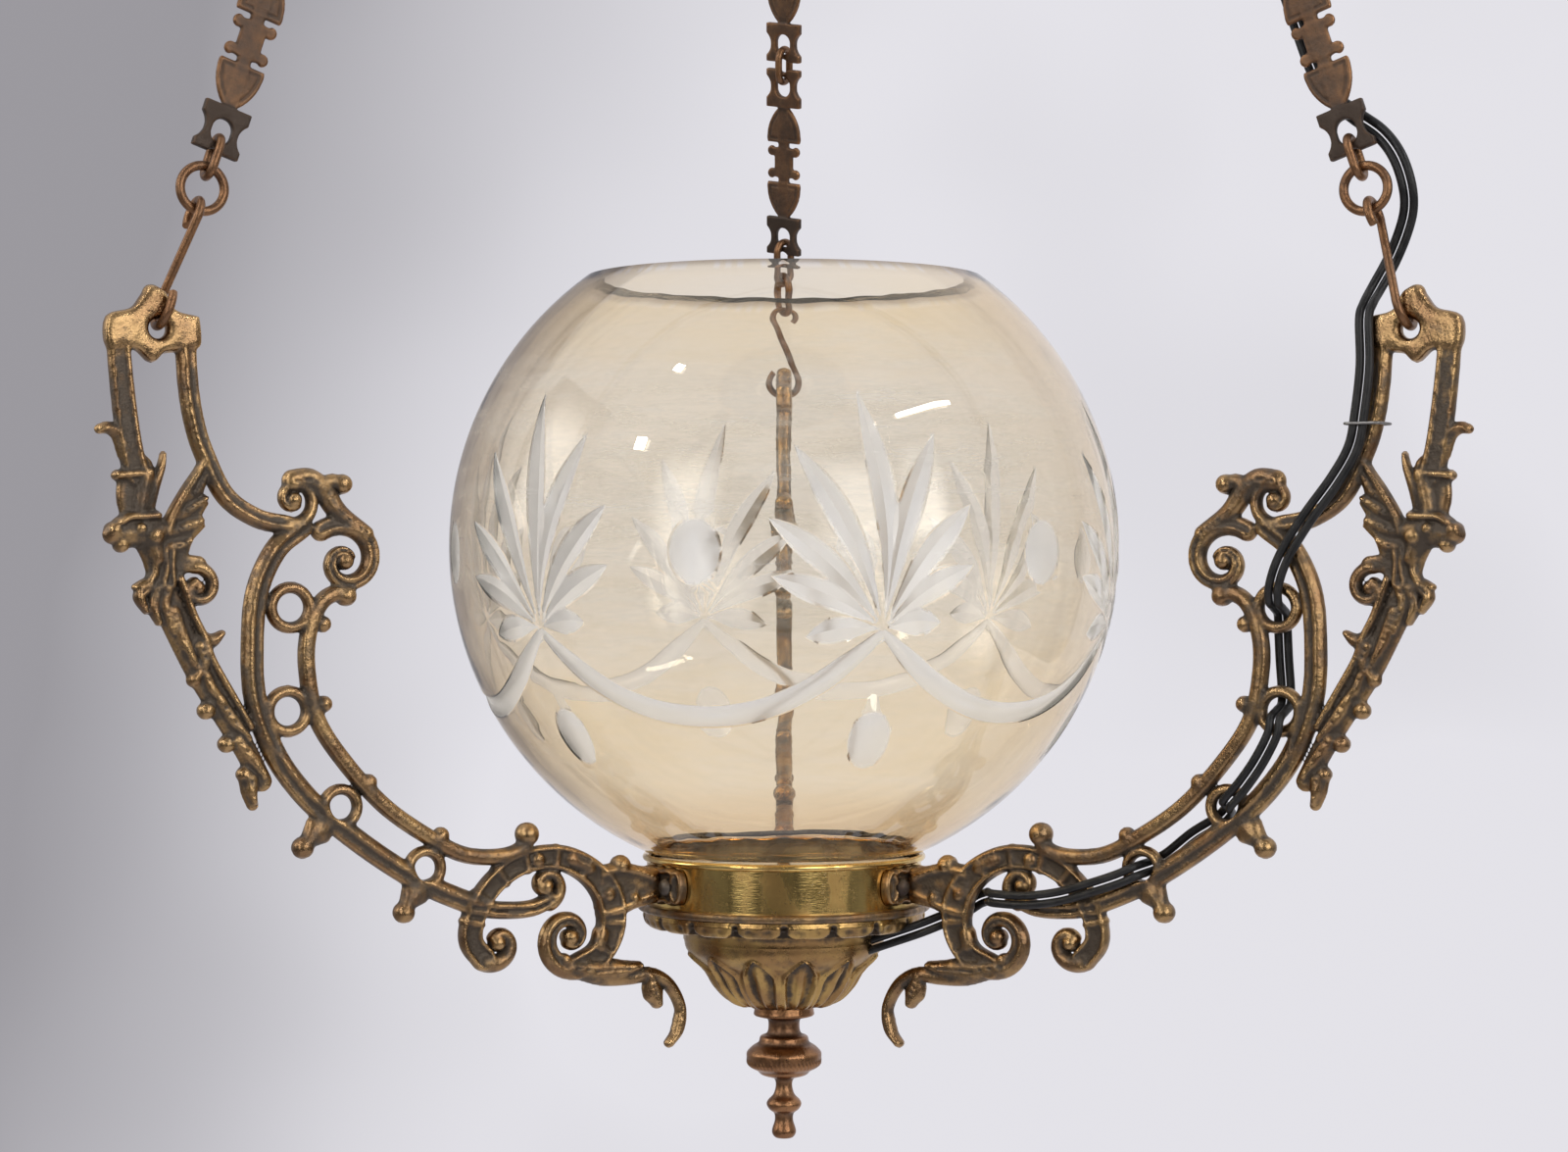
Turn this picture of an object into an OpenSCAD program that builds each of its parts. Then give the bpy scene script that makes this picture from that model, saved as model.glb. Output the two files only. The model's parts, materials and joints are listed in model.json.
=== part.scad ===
// Three-arm ceiling lantern with a glass globe, hung from three chains.
// Millimetres, +Z up. The origin is the centre of the ceiling plate's flat face,
// and the front is -Y.

/* [Ceiling fitting] */
// Diameter of the ceiling plate
ceiling_plate_d = 76; // [60:1:110]
// Depth of the moulded ceiling plate
ceiling_plate_h = 15; // [12:0.5:22]
// Distance between the two ceiling screw holes
ceiling_hole_pitch = 52; // [44:1:56]
// Diameter of the ceiling screw holes
ceiling_hole_d = 5; // [4:0.1:6]
// Wire diameter of the ceiling hook
ceiling_hook_wire_d = 5; // [4:0.1:6]
// Diameter of the ceiling hook's bend, on the centre of its wire
ceiling_hook_bend_d = 22; // [20:0.5:28]
// Wire diameter of the hanger ring
hanger_wire_d = 4; // [3:0.1:5]
// Diameter of the hanger ring, on the centre of its wire
hanger_ring_d = 26; // [24:0.5:34]
// Diameter of the swivel eye, on the centre of its wire
swivel_eye_d = 16; // [14:0.5:20]
// Diameter of the swivel eye's shank
swivel_shank_d = 6; // [5:0.1:7]

/* [Crown] */
// Diameter of the crown's hub
crown_hub_d = 18; // [16:0.5:24]
// Height of the crown's hub
crown_hub_h = 18; // [16:0.5:24]
// Distance from the axis to the crown's three chain holes
crown_eye_r = 32; // [30:0.5:45]
// Diameter of the crown's chain holes
crown_hole_d = 8; // [7.4:0.1:9]
// Thickness of the crown's three lugs
crown_lug_t = 3.6; // [3:0.1:4]

/* [Chains] */
// Number of flat plate links in each chain
plates_per_chain = 7; // [3:1:10]
// Length of a plate link between the edges that its neighbours pull on
plate_len = 77; // [72:0.5:90]
// Width of a plate link at its eyes and shields
plate_w = 17; // [15:0.5:20]
// Thickness of a plate link's flat middle
plate_t = 2; // [1.5:0.1:2.6]
// Thickness of a plate link's eyes
plate_eye_t = 3.2; // [2.6:0.1:3.6]
// Wire diameter of the oval links and S-hooks
link_wire_d = 3.1; // [2.6:0.1:3.2]
// Outside length of an oval link
link_len = 17.5; // [17:0.1:22]
// Outside width of an oval link
link_w = 12; // [11.6:0.1:14]
// Wire diameter of the round rings
ring_wire_d = 3.3; // [2.8:0.1:3.4]
// Outside diameter of the round rings
ring_d = 19; // [18:0.1:24]
// Length of an S-hook, between the centres of its two bends' wire
s_hook_len = 46; // [42:0.5:56]
// Outside width of the S-hook's lower bend
s_hook_low_w = 17; // [16:0.1:19]
// Outside width of the S-hook's upper bend
s_hook_top_w = 13.7; // [13:0.1:15]

/* [Arms] */
// Thickness of the arm casting over its ribs
arm_t = 7; // [6:0.1:8]
// Thickness of the arm casting at its edges and round the hook hole
arm_edge_t = 4.6; // [4:0.1:5]
// Width by which the arm's ribs stand back from its edges
arm_step = 0.9; // [0.6:0.05:1.2]
// Diameter of the hole for the S-hook
hook_hole_d = 6.6; // [6.2:0.1:7.4]
// Half of the angle that an arm's bracket covers on the band
wing_angle = 16; // [14:0.5:20]
// Height of an arm's bracket
wing_h = 13; // [11:0.5:14]
// Thickness of an arm's bracket
wing_t = 2.5; // [2:0.1:3]
// Diameter of the arm screws' shanks
arm_screw_d = 3; // [2.6:0.1:3.5]
// Diameter of the arm screws' heads
arm_screw_head_d = 6.4; // [5.6:0.1:7]

/* [Gallery] */
// Outside diameter of the gallery band
band_d = 104; // [103.8:0.2:108]
// Height of the gallery band
band_h = 17; // [16:0.5:21]
// Thickness of the gallery's sheet brass
band_wall = 1.2; // [0.8:0.1:1.2]
// Radius of the rolled bead on the band's upper edge
bead_r = 1.3; // [1:0.1:1.5]
// Diameter of the flange under the band
flange_d = 111; // [110:0.5:114]
// Height of the flange
flange_h = 3; // [2.5:0.1:4]
// Outside diameter of the petal ring
petal_d = 106; // [104:0.5:109]
// Height of the petal ring
petal_h = 11; // [10:0.5:13]
// Number of petals on the petal ring
petals = 18; // [12:1:24]
// Diameter of the cup at its rim
cup_d = 76; // [74:0.5:77]
// Depth of the cup
cup_h = 25.6; // [24:0.2:30]
// Thickness of the cup's wall
cup_wall = 1.8; // [1.4:0.1:2.2]
// Number of tongues on the cup
tongues = 12; // [8:1:16]
// Number of crimps in the drip pan's rim
crimps = 20; // [12:1:28]

/* [Globe] */
// Diameter of the glass globe
globe_d = 252.8; // [240:0.2:262]
// Thickness of the glass
glass_t = 3.5; // [2.5:0.1:3.5]
// Diameter of the globe's open mouth
mouth_d = 150; // [130:1:160]
// Diameter of the globe's foot, which stands in the band
foot_d = 99.6; // [98.6:0.1:99.8]
// Diameter at which the globe turns into its foot
shoulder_d = 102.6; // [102:0.2:103.6]

/* [Lampholder] */
// Diameter of the lamp's thread that the holder takes
lamp_thread_d = 26.6; // [26.4:0.1:27]
// Outside diameter of the lampholder's shell
shell_d = 34; // [33:0.2:35]
// Length of the lampholder's shell
shell_len = 40; // [36:0.5:44]
// Diameter of the threaded nipple
nipple_d = 10; // [9:0.2:11]

/* [Finial] */
// Depth of the turned finial
finial_h = 50.2; // [46:0.2:60]
// Largest diameter of the finial
finial_d = 28.4; // [26:0.2:32]

/* [Wires] */
// Diameter of the two black wires
wire_d = 3; // [2.4:0.1:3]
// Distance between the centres of the two wires
wire_pitch = 3.4; // [3.3:0.05:3.5]

/* [Hidden] */
$fn = 64;

// Directions of the three arms, measured from +X
left_az = 210;
right_az = 330;
rear_az = 90;

// How far the rear chain is twisted, so that its plates turn towards the front
rear_twist = 58;

// Clearances
link_gap = 0.3;
seat_gap = 0.3;
run_gap = 0.06;
fit_gap = 0.2;

// The ceiling hook, the hanger ring and the swivel, from the ceiling down
hook_r = ceiling_hook_bend_d / 2;
hook_shank_d = ceiling_hook_wire_d + 1;
hook_neck = 10;
hook_centre_z = -ceiling_plate_h - hook_neck - hook_r;
hook_low_z = hook_centre_z - hook_r;
hanger_r = hanger_ring_d / 2;
hanger_top_z = hook_low_z + (ceiling_hook_wire_d + hanger_wire_d) / 2 + link_gap;
hanger_centre_z = hanger_top_z - hanger_r;
hanger_low_z = hanger_centre_z - hanger_r;
swivel_r = swivel_eye_d / 2;
swivel_centre_z = hanger_low_z + hanger_wire_d + link_gap - swivel_r;
swivel_collar_h = 5;
swivel_collar_z = swivel_centre_z - swivel_r - hanger_wire_d / 2 - swivel_collar_h + 1;
crown_top_z = swivel_collar_z - 0.2;
crown_low_z = crown_top_z - crown_hub_h;
crown_eye_z = crown_low_z + 6;
swivel_nut_h = 7;

// The chain's links, from the arm's hook hole up to the crown's hole
link_r = (link_w - link_wire_d) / 2;
link_half = (link_len - link_wire_d) / 2;
link_straight = 2 * (link_half - link_r);
ring_r = (ring_d - ring_wire_d) / 2;
s_low_r = (s_hook_low_w - link_wire_d) / 2;
s_top_r = (s_hook_top_w - link_wire_d) / 2;
ring_pull = (ring_wire_d + link_wire_d) / 2 + link_gap;

// How far a flat plate's edge has to stand from the centre of a bent wire that runs through it:
// the wire's radius, the gap, and the rise of the bend's inner side over half the plate's thickness
function wire_seat(bend_r, wire, plate) = let (inner = bend_r - wire / 2)
    wire / 2 + link_gap + inner - sqrt(inner * inner - plate * plate / 4);

plate_seat = wire_seat(link_r, link_wire_d, plate_eye_t);
plate_span = plate_len - 2 * plate_seat;
plate_pitch = plate_span + 2 * link_half;
hook_seat = hook_hole_d / 2 - wire_seat(s_low_r, link_wire_d, arm_edge_t);
crown_seat = crown_hole_d / 2 - wire_seat(link_r, link_wire_d, crown_lug_t);

ring_low_v = s_hook_len - ring_pull;
link_low_v = ring_low_v + 2 * ring_r - ring_pull;
plate_low_v = link_low_v + 2 * link_half;
chain_top_v = plate_low_v + plates_per_chain * plate_pitch;
chain_len = hook_seat + chain_top_v + crown_seat;

// The arm's outline is drawn for a band of this radius, and moves with the band
drawn_band_r = 52;
band_r = band_d / 2;
arm_shift = band_r + fit_gap - drawn_band_r;
hook_hole_x = 246;
hook_hole_z = 84;
chain_run = hook_hole_x + arm_shift - crown_eye_r;
chain_rise = sqrt(chain_len * chain_len - chain_run * chain_run);
chain_lean = asin(chain_run / chain_len);

// Height of the lantern's own level, the height from which the arms are measured
lantern_z = crown_eye_z - chain_rise - hook_hole_z;

// Heights in the gallery, from the lantern's own level
band_top = -106;
band_low = band_top - band_h;
shelf_top = band_low + band_wall;
flange_low = band_low - flange_h;
petal_low = flange_low - petal_h;
cup_top = petal_low;
cup_low = cup_top - cup_h;
spigot_r = 33.8;
petal_bore_r = spigot_r + fit_gap;
petal_rim_r = 38.7;
petal_groove_d = 2.6;

// The globe
globe_r = globe_d / 2;
foot_r = foot_d / 2;
globe_seat_t = 1;
foot_low = shelf_top + globe_seat_t + seat_gap;
shoulder_r = shoulder_d / 2;
shoulder_z = -104.5;
globe_z = shoulder_z + sqrt(globe_r * globe_r - shoulder_r * shoulder_r);
mouth_z = globe_z + sqrt(globe_r * globe_r - mouth_d * mouth_d / 4);

// The lampholder, its pan and the nipple
pan_t = 0.8;
pan_floor_r = 30;
pan_rim_r = foot_r - glass_t - 1.1;
pan_h = 16;
crimp_depth = 0.7;
shell_r = shell_d / 2;
shell_wall = 1.5;
shade_ring_h = 3;
shade_ring_r = shell_r + 5;
shell_top = shelf_top + pan_t + shade_ring_h + 9;
shell_low = shell_top - shell_len;
cap_h = 6;
cap_low = shell_low - cap_h;
sleeve_wall = 0.9;
sleeve_r = lamp_thread_d / 2;
insulator_h = 10;
recess_depth = 4;
nipple_r = nipple_d / 2;
lock_nut_h = 4;
lock_nut_r = nipple_r + 3;
cup_floor = cup_low + cup_wall;
nipple_in_finial = 12;

// Points of the arm's lines: radius from the axis, height over the lantern's own level
outer_bar = [[259.5, 79], [258.3, 66], [256.7, 52.5], [255, 42], [253, 34]];
outer_bud = [[256.5, 42], [259.5, 48], [263, 50], [266, 49.5]];
inner_bar = [[236, 79], [235, 65], [233, 53], [229.4, 42], [221.8, 27.6], [210.4, 20], [199, 17.6]];
top_plate = [[231.5, 88.5], [240, 90.5], [243.6, 96.4], [247.4, 98], [251, 95.6], [255, 90.6],
    [263.5, 87.5], [263, 77], [254, 77], [248, 72.6], [242, 77.4], [231.5, 78]];
figure_back = [[252.8, 36], [254.8, 27], [251.5, 17], [246.5, 7], [244, -3]];
figure_thorn = [[250, 24], [246, 32], [243.8, 41]];
figure_wing = [[249, 18], [241.5, 20.5], [236.5, 27], [232.2, 34.5], [229.2, 38.5], [228.2, 33],
    [230.2, 27.4], [227.8, 25], [230.4, 20.6], [229, 17], [233.5, 12.4], [235.5, 6.5], [243, 4]];
figure_head = [[257.5, 19.5], [261, 14.6], [258.5, 10.5]];
left_spur = [[246, -4], [250, -3], [253.6, -3.8]];
right_spur = [[229.5, -22.5], [226, -22], [222.8, -19.6]];
side_curl = [[241, 0.5], [236.5, 4], [231.5, 3.8]];
side_curl_eye = [231.6, -3.6];
tail = [[245, -4], [238.5, -18], [231, -33], [223, -46], [215.5, -58], [208.5, -71]];
tail_bud = [[214, -68], [213.5, -74], [211.8, -79]];
tail_beads = [[228.6, -46.6], [221.4, -58], [215, -68.6]];
c_bar = [[128, -118], [146.3, -110], [162.9, -100], [179.4, -88], [192.9, -76], [204.2, -60.6],
    [210.8, -43], [212, -25.4], [210.4, -6], [203.5, 9], [194, 17]];
c_scroll_eye = [178, 5.2];
top_volute_eye = [197, 26.4];
crest = [[197, 33], [191, 33.6], [186, 30], [180, 22], [170, 15]];
crest_curl = [[188, 30.5], [183, 33], [178.6, 32.4]];
inner_rail = [[177.3, -6.7], [182.5, -6.4], [187.6, -10.6], [191.4, -20.5], [191.8, -33],
    [188.2, -49.7], [178, -65], [163, -81], [146.3, -92.6], [132.3, -99.7], [118, -101],
    [109.5, -98.6], [107.3, -93.6]];
rail_beads = [[186, -16.8], [185.6, -44.7], [168.8, -72.6], [141.2, -92.4]];
outer_beads = [[193.4, -94.6], [155.4, -119.2]];
outer_collars = [[[188, -89], [192, -92.6]], [[151.4, -112.6], [154.6, -116.6]]];
rail_rings = [[198, -11, 8.2, 4.8], [199, -47, 8.2, 4.8], [179.4, -81, 7.4, 4.2],
    [147.4, -104, 7.3, 4.1]];
c_band = [[124.6, -137.6], [129.4, -131], [128.4, -122], [123.6, -113.6], [115.6, -106.6],
    [105.4, -102.6], [93, -102.8], [81.4, -108.8], [74.4, -118.5], [73.6, -129.5],
    [78.6, -138.4], [87.9, -142.8]];
hook_scroll_eye = [119.4, -132];
low_volute_eye = [90.4, -131.6];
lower_bar = [[130, -118.4], [117.7, -120.4], [106, -120.4], [98, -117.6]];
inner_curl_eye = [100.2, -112.4];
bracket_web = [[78, -107], [70, -106.4], [62, -107], [53.6, -108.4], [53.6, -120.6], [64, -122.6],
    [72, -126], [80, -122]];
bracket_curl = [69.4, -106.2];
leaf_drop = [[88, -143.6], [77, -147.2], [66, -147.8], [57, -147.4], [49.4, -151.6], [44.6, -160],
    [45, -168], [49.2, -173.4]];
leaf_bud = [[58, -148.5], [56.6, -153], [54.8, -157.6]];
wing_z = -114.6;
screw_angle = 8;

// The route of the wires along the chain: out from the chain's line, across it, along it
wire_on_chain = [[-6.4, 5.8, 612], [-6.6, 5.6, 545], [-6.2, 6, 465], [-6.6, 5.6, 375],
    [-6.2, 6, 285], [-6.5, 5.6, 195], [-6.3, 5.8, 112], [-4.6, 6.4, 90], [2, 6.6, 78],
    [9, 5.8, 68], [13, 3, 58], [13.2, 3.5, 48], [10.6, 6, 40], [5.6, 7.6, 33],
    [-1.6, 7.6, 25], [-8.6, 4.6, 17.5]];
// Three points of the wires' route through a ring of the arm: the side that they go to, and the
// direction in the arm's plane
function through_ring(i, side, way) = [for (t = [-1, 0, 1]) [rail_rings[i][0] + 2.4 * t * cos(way),
    4.9 * t * side, rail_rings[i][1] + 2.4 * t * sin(way)]];
// The route of the wires on the arm: radius, across the arm, height
wire_on_arm = concat([[231.4, -2, 93], [231.2, -5.6, 87.5], [231.6, -6, 72], [229.8, -6, 56],
        [227.4, -6, 44], [221, -6, 33], [211, -6, 20], [202.6, -6, 7], [199, -6, -2.5]],
    through_ring(0, 1, 264), [[197.6, 6, -19], [198, 6.2, -29], [198.8, 6, -39]],
    through_ring(1, -1, 267), [[198.2, -6, -55], [193.2, -6.2, -64.5], [187, -6, -73]],
    through_ring(2, 1, 225), [[173.4, 6, -86.6], [164, 6.2, -92.4], [155, 6, -99.6]],
    through_ring(3, -1, 208), [[139.4, -6, -107.8], [129, -6.2, -111.4], [117, -6.2, -115],
        [104, -6.4, -117], [92.4, -6.2, -117], [88.4, -4.6, -116.8], [86, 0, -117],
        [83.6, 4.8, -117.6], [79, 6.5, -119.2], [74, 6.3, -122.4], [68.6, 5.8, -125.4],
        [62, 2.2, -128.6]]);
// The straight run of the wires under the flange, through petal ring and cup, and their ends
wire_in = [56, 0, flange_low - 5.2];
wire_out = [27, 0, flange_low - 15.4];
wire_end = [shell_r - 1, 0, shell_low + 4.2];
wire_hole_d = wire_d + 0.8;
block_r = 19;
block_w = 10;
block_l = 16;
block_h = 12;

// Plain geometry: points on curves
function mix(a, b, t) = a + (b - a) * t;
function unit(v) = v / norm(v);
function end_point(p, i) = i < 0 ? 2 * p[0] - p[1]
    : i >= len(p) ? 2 * p[len(p) - 1] - p[len(p) - 2] : p[i];
function curve_at(a, b, c, d, t) = (2 * b + (c - a) * t + (2 * a - 5 * b + 4 * c - d) * t * t
    + (3 * b - a - 3 * c + d) * t * t * t) / 2;
function smooth(p, n = 2) = concat([for (i = [0:len(p) - 2]) for (k = [0:n - 1])
    curve_at(end_point(p, i - 1), p[i], p[i + 1], end_point(p, i + 2), k / n)], [p[len(p) - 1]]);
function heading(p, i) = unit(end_point(p, i + 1) - end_point(p, i - 1));
function left_of(p, i) = let (h = heading(p, i)) [-h[1], h[0]];
// A scroll: the angle runs from a0 to a1 while the radius falls from r0 to r1, fast at first
function scroll(eye, r0, r1, a0, a1, n) = [for (i = [0:n]) let (t = i / n, a = mix(a0, a1, t),
    r = r1 + (r0 - r1) * pow(1 - t, 1.3)) eye + r * [cos(a), sin(a)]];

// A bar of changing width along a line of points, with round ends
module bar(p, w0, w1) {
    n = len(p) - 1;
    polygon(concat(
        [for (i = [0:n]) p[i] + left_of(p, i) * mix(w0, w1, i / n) / 2],
        [for (i = [n:-1:0]) p[i] - left_of(p, i) * mix(w0, w1, i / n) / 2]));
    translate(p[0]) circle(d = w0, $fn = 10);
    translate(p[n]) circle(d = w1, $fn = 10);
}

// Places a shape that is drawn for +X at one of the arms' directions
module at_arm(az) {
    translate([0, 0, lantern_z]) rotate([0, 0, az]) children();
}

// Places a shape on a chain: +Z runs along the chain, +Y across it. The rear chain is twisted
// by a share of its whole twist.
module on_chain(az, v, share = 0) {
    at_arm(az)
        translate([hook_hole_x + arm_shift, 0, hook_hole_z])
            rotate([0, -chain_lean, 0])
                translate([0, 0, hook_seat + v])
                    rotate([0, 0, az == rear_az ? share * rear_twist : 0])
                        children();
}

// Turns a drawing in X and Y into a standing plate of thickness t in X and Z
module standing(t) {
    rotate([90, 0, 0]) linear_extrude(height = t, center = true) children();
}

// A bent wire: part of a ring in X and Y
module wire_arc(r, wire, from, sweep) {
    rotate([0, 0, from]) rotate_extrude(angle = sweep) translate([r, 0]) circle(d = wire);
}

// A straight wire between two points in X and Y
module wire_bar(a, b, wire) {
    translate([a[0], a[1], 0]) rotate([0, 0, atan2(b[1] - a[1], b[0] - a[0])]) rotate([0, 90, 0])
        cylinder(h = norm(b - a), d = wire);
}

// The plate on the ceiling, a moulded rose with two screw holes
module ceiling_plate() {
    rim = ceiling_plate_d / 2;
    boss = hook_shank_d / 2 + 5;
    color("darkgoldenrod") difference() {
        rotate_extrude() polygon(concat([[0, 0], [rim, 0], [rim, -2.5]],
            [for (a = [0:15:90]) [rim - 1.5 - 6 * sin(a), -2.5 - 4 * (1 - cos(a))]],
            [for (a = [90:-15:0]) [boss + (rim - 9.5 - boss) * (1 - cos(a)),
                -7 - (ceiling_plate_h - 7) * (1 - sin(a))]],
            [[0, -ceiling_plate_h]]));
        for (x = [-1, 1] * ceiling_hole_pitch / 2)
            translate([x, 0, -ceiling_plate_h]) cylinder(h = 2 * ceiling_plate_h, d = ceiling_hole_d);
        translate([0, 0, -ceiling_plate_h - 1]) cylinder(h = ceiling_plate_h - 2, d = hook_shank_d);
    }
}

// The hook that is screwed into the ceiling plate
module ceiling_hook() {
    shank_top = -4;
    color("peru") {
        translate([0, 0, hook_centre_z]) rotate([90, 0, 0])
            wire_arc(hook_r, ceiling_hook_wire_d, 90, 285);
        translate([0, 0, hook_centre_z + hook_r - 1])
            cylinder(h = shank_top - hook_centre_z - hook_r + 1, d = hook_shank_d - 2 * run_gap);
        translate([0, 0, -ceiling_plate_h - 4]) cylinder(h = 3.8, d = hook_shank_d + 6);
    }
}

// The ring between the ceiling hook and the swivel
module hanger_ring() {
    color("peru") translate([0, 0, hanger_centre_z]) rotate([90, 0, 90])
        wire_arc(hanger_r, hanger_wire_d, 0, 360);
}

// The eye bolt on which the crown turns
module swivel_eye() {
    color("peru") {
        translate([0, 0, swivel_centre_z]) rotate([90, 0, 0])
            wire_arc(swivel_r, hanger_wire_d, 0, 360);
        translate([0, 0, swivel_collar_z]) cylinder(h = swivel_collar_h, d = swivel_shank_d + 5);
        translate([0, 0, crown_low_z - swivel_nut_h + 1])
            cylinder(h = swivel_collar_z - crown_low_z + swivel_nut_h, d = swivel_shank_d);
    }
}

// The domed nut that holds the crown on the eye bolt
module swivel_nut() {
    r = swivel_shank_d / 2 + 4;
    color("goldenrod") translate([0, 0, crown_low_z - 0.2 - swivel_nut_h]) difference() {
        union() {
            cylinder(h = swivel_nut_h, r = r);
            translate([0, 0, 0.5]) sphere(r = r - 1);
        }
        translate([0, 0, 1]) cylinder(h = swivel_nut_h, d = swivel_shank_d);
    }
}

// The crown, a hub with three lugs for the chains
module crown() {
    hub_r = crown_hub_d / 2;
    color("darkgoldenrod") difference() {
        union() {
            translate([0, 0, crown_low_z]) rotate_extrude() polygon(concat(
                [[0, 0], [hub_r - 1.5, 0]],
                [for (a = [-60:20:60]) [hub_r - 2 + 2 * cos(a), crown_hub_h / 2 + 7.6 * sin(a)]],
                [[hub_r - 1.5, crown_hub_h], [0, crown_hub_h]]));
            for (az = [left_az, right_az, rear_az])
                rotate([0, 0, az]) translate([0, 0, crown_eye_z]) standing(crown_lug_t)
                    difference() {
                        offset(delta = 0.02) {
                            bar(smooth([[4, 3], [crown_eye_r * 0.5, 7], [crown_eye_r * 0.8, 5],
                                [crown_eye_r, 0]]), 8, 8);
                            translate([crown_eye_r, 0]) circle(d = crown_hole_d + 7.6);
                            translate([crown_eye_r * 0.55, 9.5]) circle(r = 3, $fn = 24);
                        }
                        translate([crown_eye_r, 0]) circle(d = crown_hole_d);
                    }
        }
        translate([0, 0, crown_low_z - 1])
            cylinder(h = crown_hub_h + 2, d = swivel_shank_d + 2 * run_gap);
    }
}

// The place of the connector block, between two of the crown's lugs
module at_block() {
    rotate([0, 0, right_az + 60]) translate([block_r, 0, crown_low_z + 2]) children();
}

// The porcelain block in which the two wires end
module connector_block() {
    color("ivory") at_block() difference() {
        translate([-block_w / 2, -block_l / 2, 0]) cube([block_w, block_l, block_h]);
        translate([-block_w, 0, block_h / 2]) rotate([0, 90, 0])
            cylinder(h = 2 * block_w, d = 3.4);
        for (y = [-1, 1] * block_l / 3.2)
            translate([0, y, block_h - 4]) cylinder(h = 6, d = 3.2);
    }
}

// The screw that holds the connector block to the crown
module connector_screw() {
    color("dimgray") at_block() translate([block_w / 2 + 0.1, 0, block_h / 2]) rotate([0, -90, 0]) {
        translate([0, 0, -1.8]) cylinder(h = 1.8, d = 5.4);
        translate([0, 0, -0.1]) cylinder(h = block_w + 0.2, d = 3);
    }
}

// The outline of an arm in its own plane: X is the radius, Y the height
module arm_outline() {
    difference() {
        offset(delta = 0.02) {
            polygon(top_plate);
            bar(smooth(outer_bar), 7.6, 8.4);
            bar(smooth(outer_bud), 7, 3.4);
            bar(smooth(inner_bar), 6.8, 6.4);
            bar(scroll(top_volute_eye, 8.8, 2.4, 284, -130, 18), 6, 3);
            figure_outline();
            bar(smooth(c_bar), 7.6, 7.6);
            bar(scroll(c_scroll_eye, 13.6, 2.6, 50, 500, 20), 7, 3.4);
            bar(smooth(crest), 8, 6);
            bar(smooth(crest_curl), 6, 5);
            bar(smooth(inner_rail), 5.6, 5.6);
            for (p = rail_beads) translate(p) circle(r = 3, $fn = 12);
            for (p = outer_beads) translate(p) circle(r = 3.6, $fn = 14);
            for (c = outer_collars) bar(c, 11, 5.4);
            for (r = rail_rings) translate([r[0], r[1]]) circle(r = r[2], $fn = 24);
            bar(smooth(c_band), 8, 9);
            bar(scroll(hook_scroll_eye, 8, 2.6, 300, 40, 12), 7, 3.4);
            bar(scroll(low_volute_eye, 12, 2.6, 250, 660, 18), 8.6, 3.4);
            bar(smooth(lower_bar), 6.4, 5.6);
            bar(scroll(inner_curl_eye, 7, 2, 252, -110, 15), 5.4, 3);
            polygon(bracket_web);
            translate(bracket_curl) circle(r = 3.8, $fn = 14);
            bar(smooth(leaf_drop), 6.5, 3.4);
            bar(smooth(leaf_bud), 3, 7);
        }
        for (r = rail_rings) translate([r[0], r[1]]) circle(r = r[3], $fn = 20);
    }
}

// The winged figure and the tail branch below it
module figure_outline() {
    bar(smooth(figure_back), 11, 9);
    bar(smooth(figure_thorn), 8, 2);
    polygon(figure_wing);
    bar(smooth(figure_head), 10, 8);
    bar(smooth(left_spur), 7, 2.4);
    bar(smooth(right_spur), 7, 2.4);
    bar(smooth(side_curl), 6, 6);
    translate(side_curl_eye) circle(r = 8, $fn = 20);
    bar(smooth(tail), 10, 7);
    bar(smooth(tail_bud), 6, 4);
    for (p = tail_beads) translate(p) circle(r = 3.2, $fn = 12);
}

// The raised ribs that run along the middle of the arm's bars and scrolls
module arm_ribs() {
    cut = 2 * arm_step;
    difference() {
        offset(delta = 0.02) {
            bar(smooth(outer_bar), 7.6 - cut, 8.4 - cut);
            bar(smooth(inner_bar), 6.8 - cut, 6.4 - cut);
            bar(scroll(top_volute_eye, 8.8, 2.4, 284, -40, 14), 6 - cut, 3 - cut / 2);
            bar(smooth(figure_back), 11 - cut, 9 - cut);
            bar(smooth(tail), 10 - cut, 7 - cut);
            bar(smooth(c_bar), 7.6 - cut, 7.6 - cut);
            bar(scroll(c_scroll_eye, 13.6, 2.6, 50, 420, 16), 7 - cut, 3.4 - cut / 2);
            bar(smooth(inner_rail), 5.6 - cut, 5.6 - cut);
            bar(smooth(c_band), 8 - cut, 9 - cut);
            bar(scroll(hook_scroll_eye, 8, 2.6, 300, 110, 8), 7 - cut, 3.4 - cut / 2);
            bar(scroll(low_volute_eye, 12, 2.6, 250, 570, 14), 8.6 - cut, 3.4 - cut / 2);
            bar(smooth(lower_bar), 6.4 - cut, 5.6 - cut);
            bar(smooth(leaf_drop), 6.5 - cut, 3.4 - cut / 2);
            bar([[74, -114.6], [59, -114.6]], 9, 11);
        }
        for (r = rail_rings) translate([r[0], r[1]]) circle(r = r[3] + arm_step, $fn = 20);
    }
}

// Round bosses of the arm: eyes of the scrolls and beads, as X, Y and radius
arm_bosses = [[197, 26.4, 4.6], [178, 5.2, 4.9], [119.4, -132, 4.5], [90.4, -131.6, 4.6],
    [100.2, -112.4, 4.4], [107.3, -93.4, 4.6], [193.4, -94.6, 4.2], [155.4, -119.2, 4.2],
    [231.6, -3.6, 4.6], [178.6, 32.4, 4.1]];

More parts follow.
